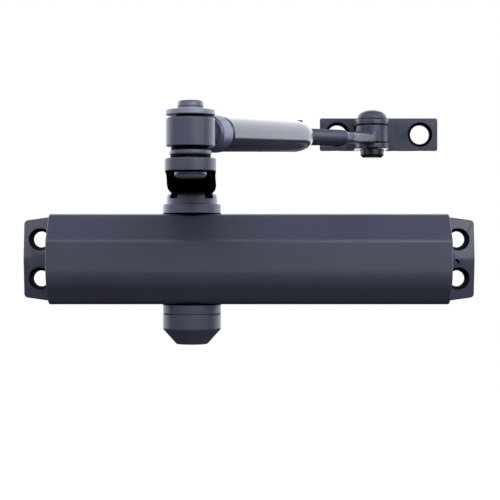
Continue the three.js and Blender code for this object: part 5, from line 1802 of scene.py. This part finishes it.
@dataclass
class PistonTrain:
    """The piston, its rings and valve, and the spring that drives it."""

    wire_radius: float = 2.2
    coil_radius: float = 12.8
    turns: float = 7.5
    steps_per_turn: int = 40
    wire_columns: int = 20

    def build(self) -> None:
        """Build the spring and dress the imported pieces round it."""
        dress(GREY_IRON, "piston", "spring_seat")
        dress(TURNED_STEEL, "left_piston_ring", "right_piston_ring", "check_ball")
        dress(TURNED_STEEL, "check_ball_retainer")
        low = low_corner("main_spring")
        high = high_corner("main_spring")
        travels = [joint(name)["range_m"][1] / MM for name in ("piston_slide", "spring_seat_slide")]
        share = travels[0] / sum(travels)
        middle_x = float(low[0]) + share * float(high[0] - low[0])
        centre = (middle_x * MM, float(middle("piston")[1]) * MM, 0)
        seat = (float(high[0]) * MM, centre[1], 0)
        ends = ((0.0, share), (share, 1.0))
        halves = (
            ("front", "closer_body", "piston_slide", centre, middle_x - float(low[0])),
            ("back", "spring_seat_body", "spring_seat_slide", seat, float(high[0]) - middle_x),
        )
        for (first, last), (name, body, slide, anchor, length), travel in zip(ends, halves, travels):
            skin = self.coil(float(low[0]), float(high[0]), first, last)
            half = mesh_object(f"power_spring_{name}", [skin], PHOSPHATED_STEEL)
            settle(half, body, PHOSPHATED_STEEL, "main_spring")
            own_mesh(half)

    def coil(self, start: float, end: float, first: float, last: float) -> Skin:
        """Build one part of the spring's wire.

        The wire's middle goes round the axis at the coil's radius while it moves evenly along
        X. Each section is a circle in the plane of the outward direction and the one square to
        both that and the wire.

        Args:
            start: where the whole spring begins along X.
            end: where it ends.
            first: the share of the wire where this part begins.
            last: the share where it ends.

        Returns:
            The closed surface.
        """
        start += self.wire_radius
        end -= self.wire_radius
        count = int((last - first) * self.turns * self.steps_per_turn)
        share = np.linspace(first, last, count)
        turn = share * self.turns * TAU
        zero = np.zeros(count)
        outward = np.stack([zero, np.cos(turn), np.sin(turn)], -1)
        centre = outward * self.coil_radius
        centre[:, 0] = start + share * (end - start)
        centre[:, 1] += float(middle("piston")[1])
        lead = (end - start) / (self.turns * TAU)
        ahead = np.stack(
            [np.full(count, lead), -self.coil_radius * np.sin(turn), self.coil_radius * np.cos(turn)],
            -1,
        )
        ahead /= np.linalg.norm(ahead, axis=1, keepdims=True)
        across = np.cross(ahead, outward)
        angle = np.linspace(0, TAU, self.wire_columns, endpoint=False)[None, :, None]
        ring = np.cos(angle) * outward[:, None] + np.sin(angle) * across[:, None]
        points = centre[:, None] + self.wire_radius * ring
        caps = [np.broadcast_to(centre[i], points[:1].shape) for i in (0, -1)]
        return Skin(np.concatenate([caps[0], points, caps[1]]))


# ------------------------------------------------------------------ studio


# The softboxes and the backdrop are a little cooler than plain white.
PANEL_COLOUR = (0.88, 0.91, 1.0)


@dataclass
class Studio:
    """The pale floor, the soft lights, the sky that they stand in and the camera."""

    camera_place: tuple[float, float, float] = (0.2, -746.0, 1.9)
    focal_mm: float = 109.368
    sensor_mm: float = 36.0
    shift: tuple[float, float] = (0.001, 0.01)
    floor_drop: float = 420.0
    floor_size: float = 9000.0
    sky_low: float = 0.05
    sky_front: float = 0.24
    backdrop: float = 2.15

    def build(self) -> None:
        """Set up everything that isn't the object."""
        self.build_floor()
        self.build_sky()
        self.build_camera()
        elbow = (float(ELBOW_AXIS[0]), float(ELBOW_AXIS[1]), 40.0)
        self.panel("left_panel", elbow, -58, 1200, (1300, 800), 3, 0.4)
        self.panel("right_panel", elbow, 42, 1200, (1300, 800), 8.5, 0.4)
        self.panel("top_panel", elbow, 0, 1000, (1600, 260), 5, 1.3)
        body = (0.0, -35.0, 0.0)
        self.panel("brow_panel", body, 0, 1200, (1300, 150), 2.4, 0.36)
        self.panel("low_panel", body, 0, 1200, (900, 200), 0.5, -0.16)
        bpy.context.scene.view_settings.view_transform = "Standard"

    def build_floor(self) -> None:
        """Lay a pale floor well below the closer, as it hangs on a door."""
        half = self.floor_size / 2 * MM
        level = (float(low_corner("pinion_dust_cap")[2]) - self.floor_drop) * MM
        signs = ((-1, -1), (1, -1), (1, 1), (-1, 1))
        corners = [(x * half, y * half, level) for x, y in signs]
        mesh = bpy.data.meshes.new("floor")
        mesh.from_pydata(corners, [], [(0, 1, 2, 3)])
        floor = bpy.data.objects.new("floor", mesh)
        bpy.context.scene.collection.objects.link(floor)
        paint = bpy.data.materials.new("matte_white_floor")
        paint.use_nodes = True
        shader = paint.node_tree.nodes["Principled BSDF"]
        shader.inputs["Base Color"].default_value = (0.9, 0.9, 0.9, 1)
        shader.inputs["Roughness"].default_value = 0.9
        shader.inputs["Emission Color"].default_value = (1, 1, 1, 1)
        shader.inputs["Emission Strength"].default_value = 0.6
        mesh.materials.append(paint)
        floor.visible_glossy = False
        floor.visible_diffuse = False

    def build_sky(self) -> None:
        """Give the surroundings a bright backdrop, a dim front and a dark ground.

        The strength is the ground's, plus the front's above the horizon, plus the backdrop's in
        a band behind the object. The camera itself sees plain white.
        """
        world = bpy.data.worlds.new("studio")
        bpy.context.scene.world = world
        world.use_nodes = True
        tree = world.node_tree
        tree.nodes.clear()
        direction = add_node(tree, "ShaderNodeTexCoord").outputs["Generated"]
        parts = add_node(tree, "ShaderNodeSeparateXYZ", {}, {0: direction}).outputs
        above = self.step(tree, parts["Z"], -0.13, -0.07)
        wall = self.times(tree, above, self.step(tree, parts["Z"], 0.75, 0.45))
        wall = self.times(tree, wall, self.step(tree, parts["Y"], -0.05, 0.35))
        front = self.times(tree, above, self.sky_front)
        back = self.times(tree, wall, self.backdrop)
        lit = add_node(tree, "ShaderNodeMath", {"operation": "ADD"}, {0: front, 1: back})
        level = add_node(
            tree, "ShaderNodeMath", {"operation": "ADD"}, {0: lit.outputs[0], 1: self.sky_low}
        )
        seen = add_node(tree, "ShaderNodeLightPath").outputs["Is Camera Ray"]
        lighting = add_node(
            tree, "ShaderNodeBackground", {},
            {"Color": (*PANEL_COLOUR, 1), "Strength": level.outputs[0]},
        )
        plain = add_node(tree, "ShaderNodeBackground", {}, {"Color": (1, 1, 1, 1), "Strength": 1})
        sky = add_node(
            tree, "ShaderNodeMixShader", {}, {0: seen, 1: lighting.outputs[0], 2: plain.outputs[0]}
        )
        add_node(tree, "ShaderNodeOutputWorld", {}, {"Surface": sky.outputs[0]})

    def step(
        self, tree: bpy.types.NodeTree, value: bpy.types.NodeSocket, low: float, high: float
    ) -> bpy.types.NodeSocket:
        """Add a smooth step of a value, from 0 at low to 1 at high, either way round."""
        node = add_node(
            tree, "ShaderNodeMapRange", {"interpolation_type": "SMOOTHSTEP"},
            {"Value": value, "From Min": low, "From Max": high},
        )
        return node.outputs["Result"]

    def times(
        self,
        tree: bpy.types.NodeTree,
        first: bpy.types.NodeSocket,
        second: bpy.types.NodeSocket | float,
    ) -> bpy.types.NodeSocket:
        """Add a product of a value with another value or a number."""
        node = add_node(tree, "ShaderNodeMath", {"operation": "MULTIPLY"}, {0: first, 1: second})
        return node.outputs[0]

    def build_camera(self) -> None:
        """Stand the camera square to the closer's front, at the height of its middle."""
        data = bpy.data.cameras.new("camera")
        data.lens = self.focal_mm
        data.sensor_width = self.sensor_mm
        data.shift_x, data.shift_y = self.shift
        data.clip_start = 0.01
        data.clip_end = 50
        camera = bpy.data.objects.new("camera", data)
        camera.location = [value * MM for value in self.camera_place]
        camera.rotation_euler = (math.pi / 2, 0, 0)
        bpy.context.scene.collection.objects.link(camera)
        bpy.context.scene.camera = camera

    def panel(
        self,
        name: str,
        target: Sequence[float],
        azimuth: float,
        distance: float,
        size: tuple[float, float],
        power: float,
        rise: float,
    ) -> None:
        """Stand a soft panel in front, facing a target.

        Args:
            name: the light's name.
            target: what it faces, in millimetres.
            azimuth: degrees round from straight in front, positive to the right.
            distance: from the target, in millimetres.
            size: its width and height, in millimetres.
            power: its power, in watts.
            rise: its height over the target, as a share of the level distance.
        """
        data = bpy.data.lights.new(name, "AREA")
        data.shape = "RECTANGLE"
        data.size, data.size_y = (value * MM for value in size)
        data.energy = power
        data.color = PANEL_COLOUR
        lamp = bpy.data.objects.new(name, data)
        turn = math.radians(azimuth)
        away = Vector((math.sin(turn), -math.cos(turn), rise)) * distance
        lamp.location = (Vector(target) + away) * MM
        lamp.rotation_euler = away.to_track_quat("Z", "Y").to_euler()
        bpy.context.scene.collection.objects.link(lamp)


def main() -> None:
    """Build every sub-assembly in order, then the studio."""
    logging.basicConfig(level=logging.INFO, format="%(name)s %(message)s")
    parts = (
        Housing(), ShaftHousing(), MainArm(), ElbowStack(), Forearm(), AdjustingRod(), FrameShoe(),
        PistonTrain(), Studio(),
    )
    for part in parts:
        LOG.info("building %s", type(part).__name__)
        part.build()
    bpy.context.view_layer.update()


if __name__ == "__main__":
    main()
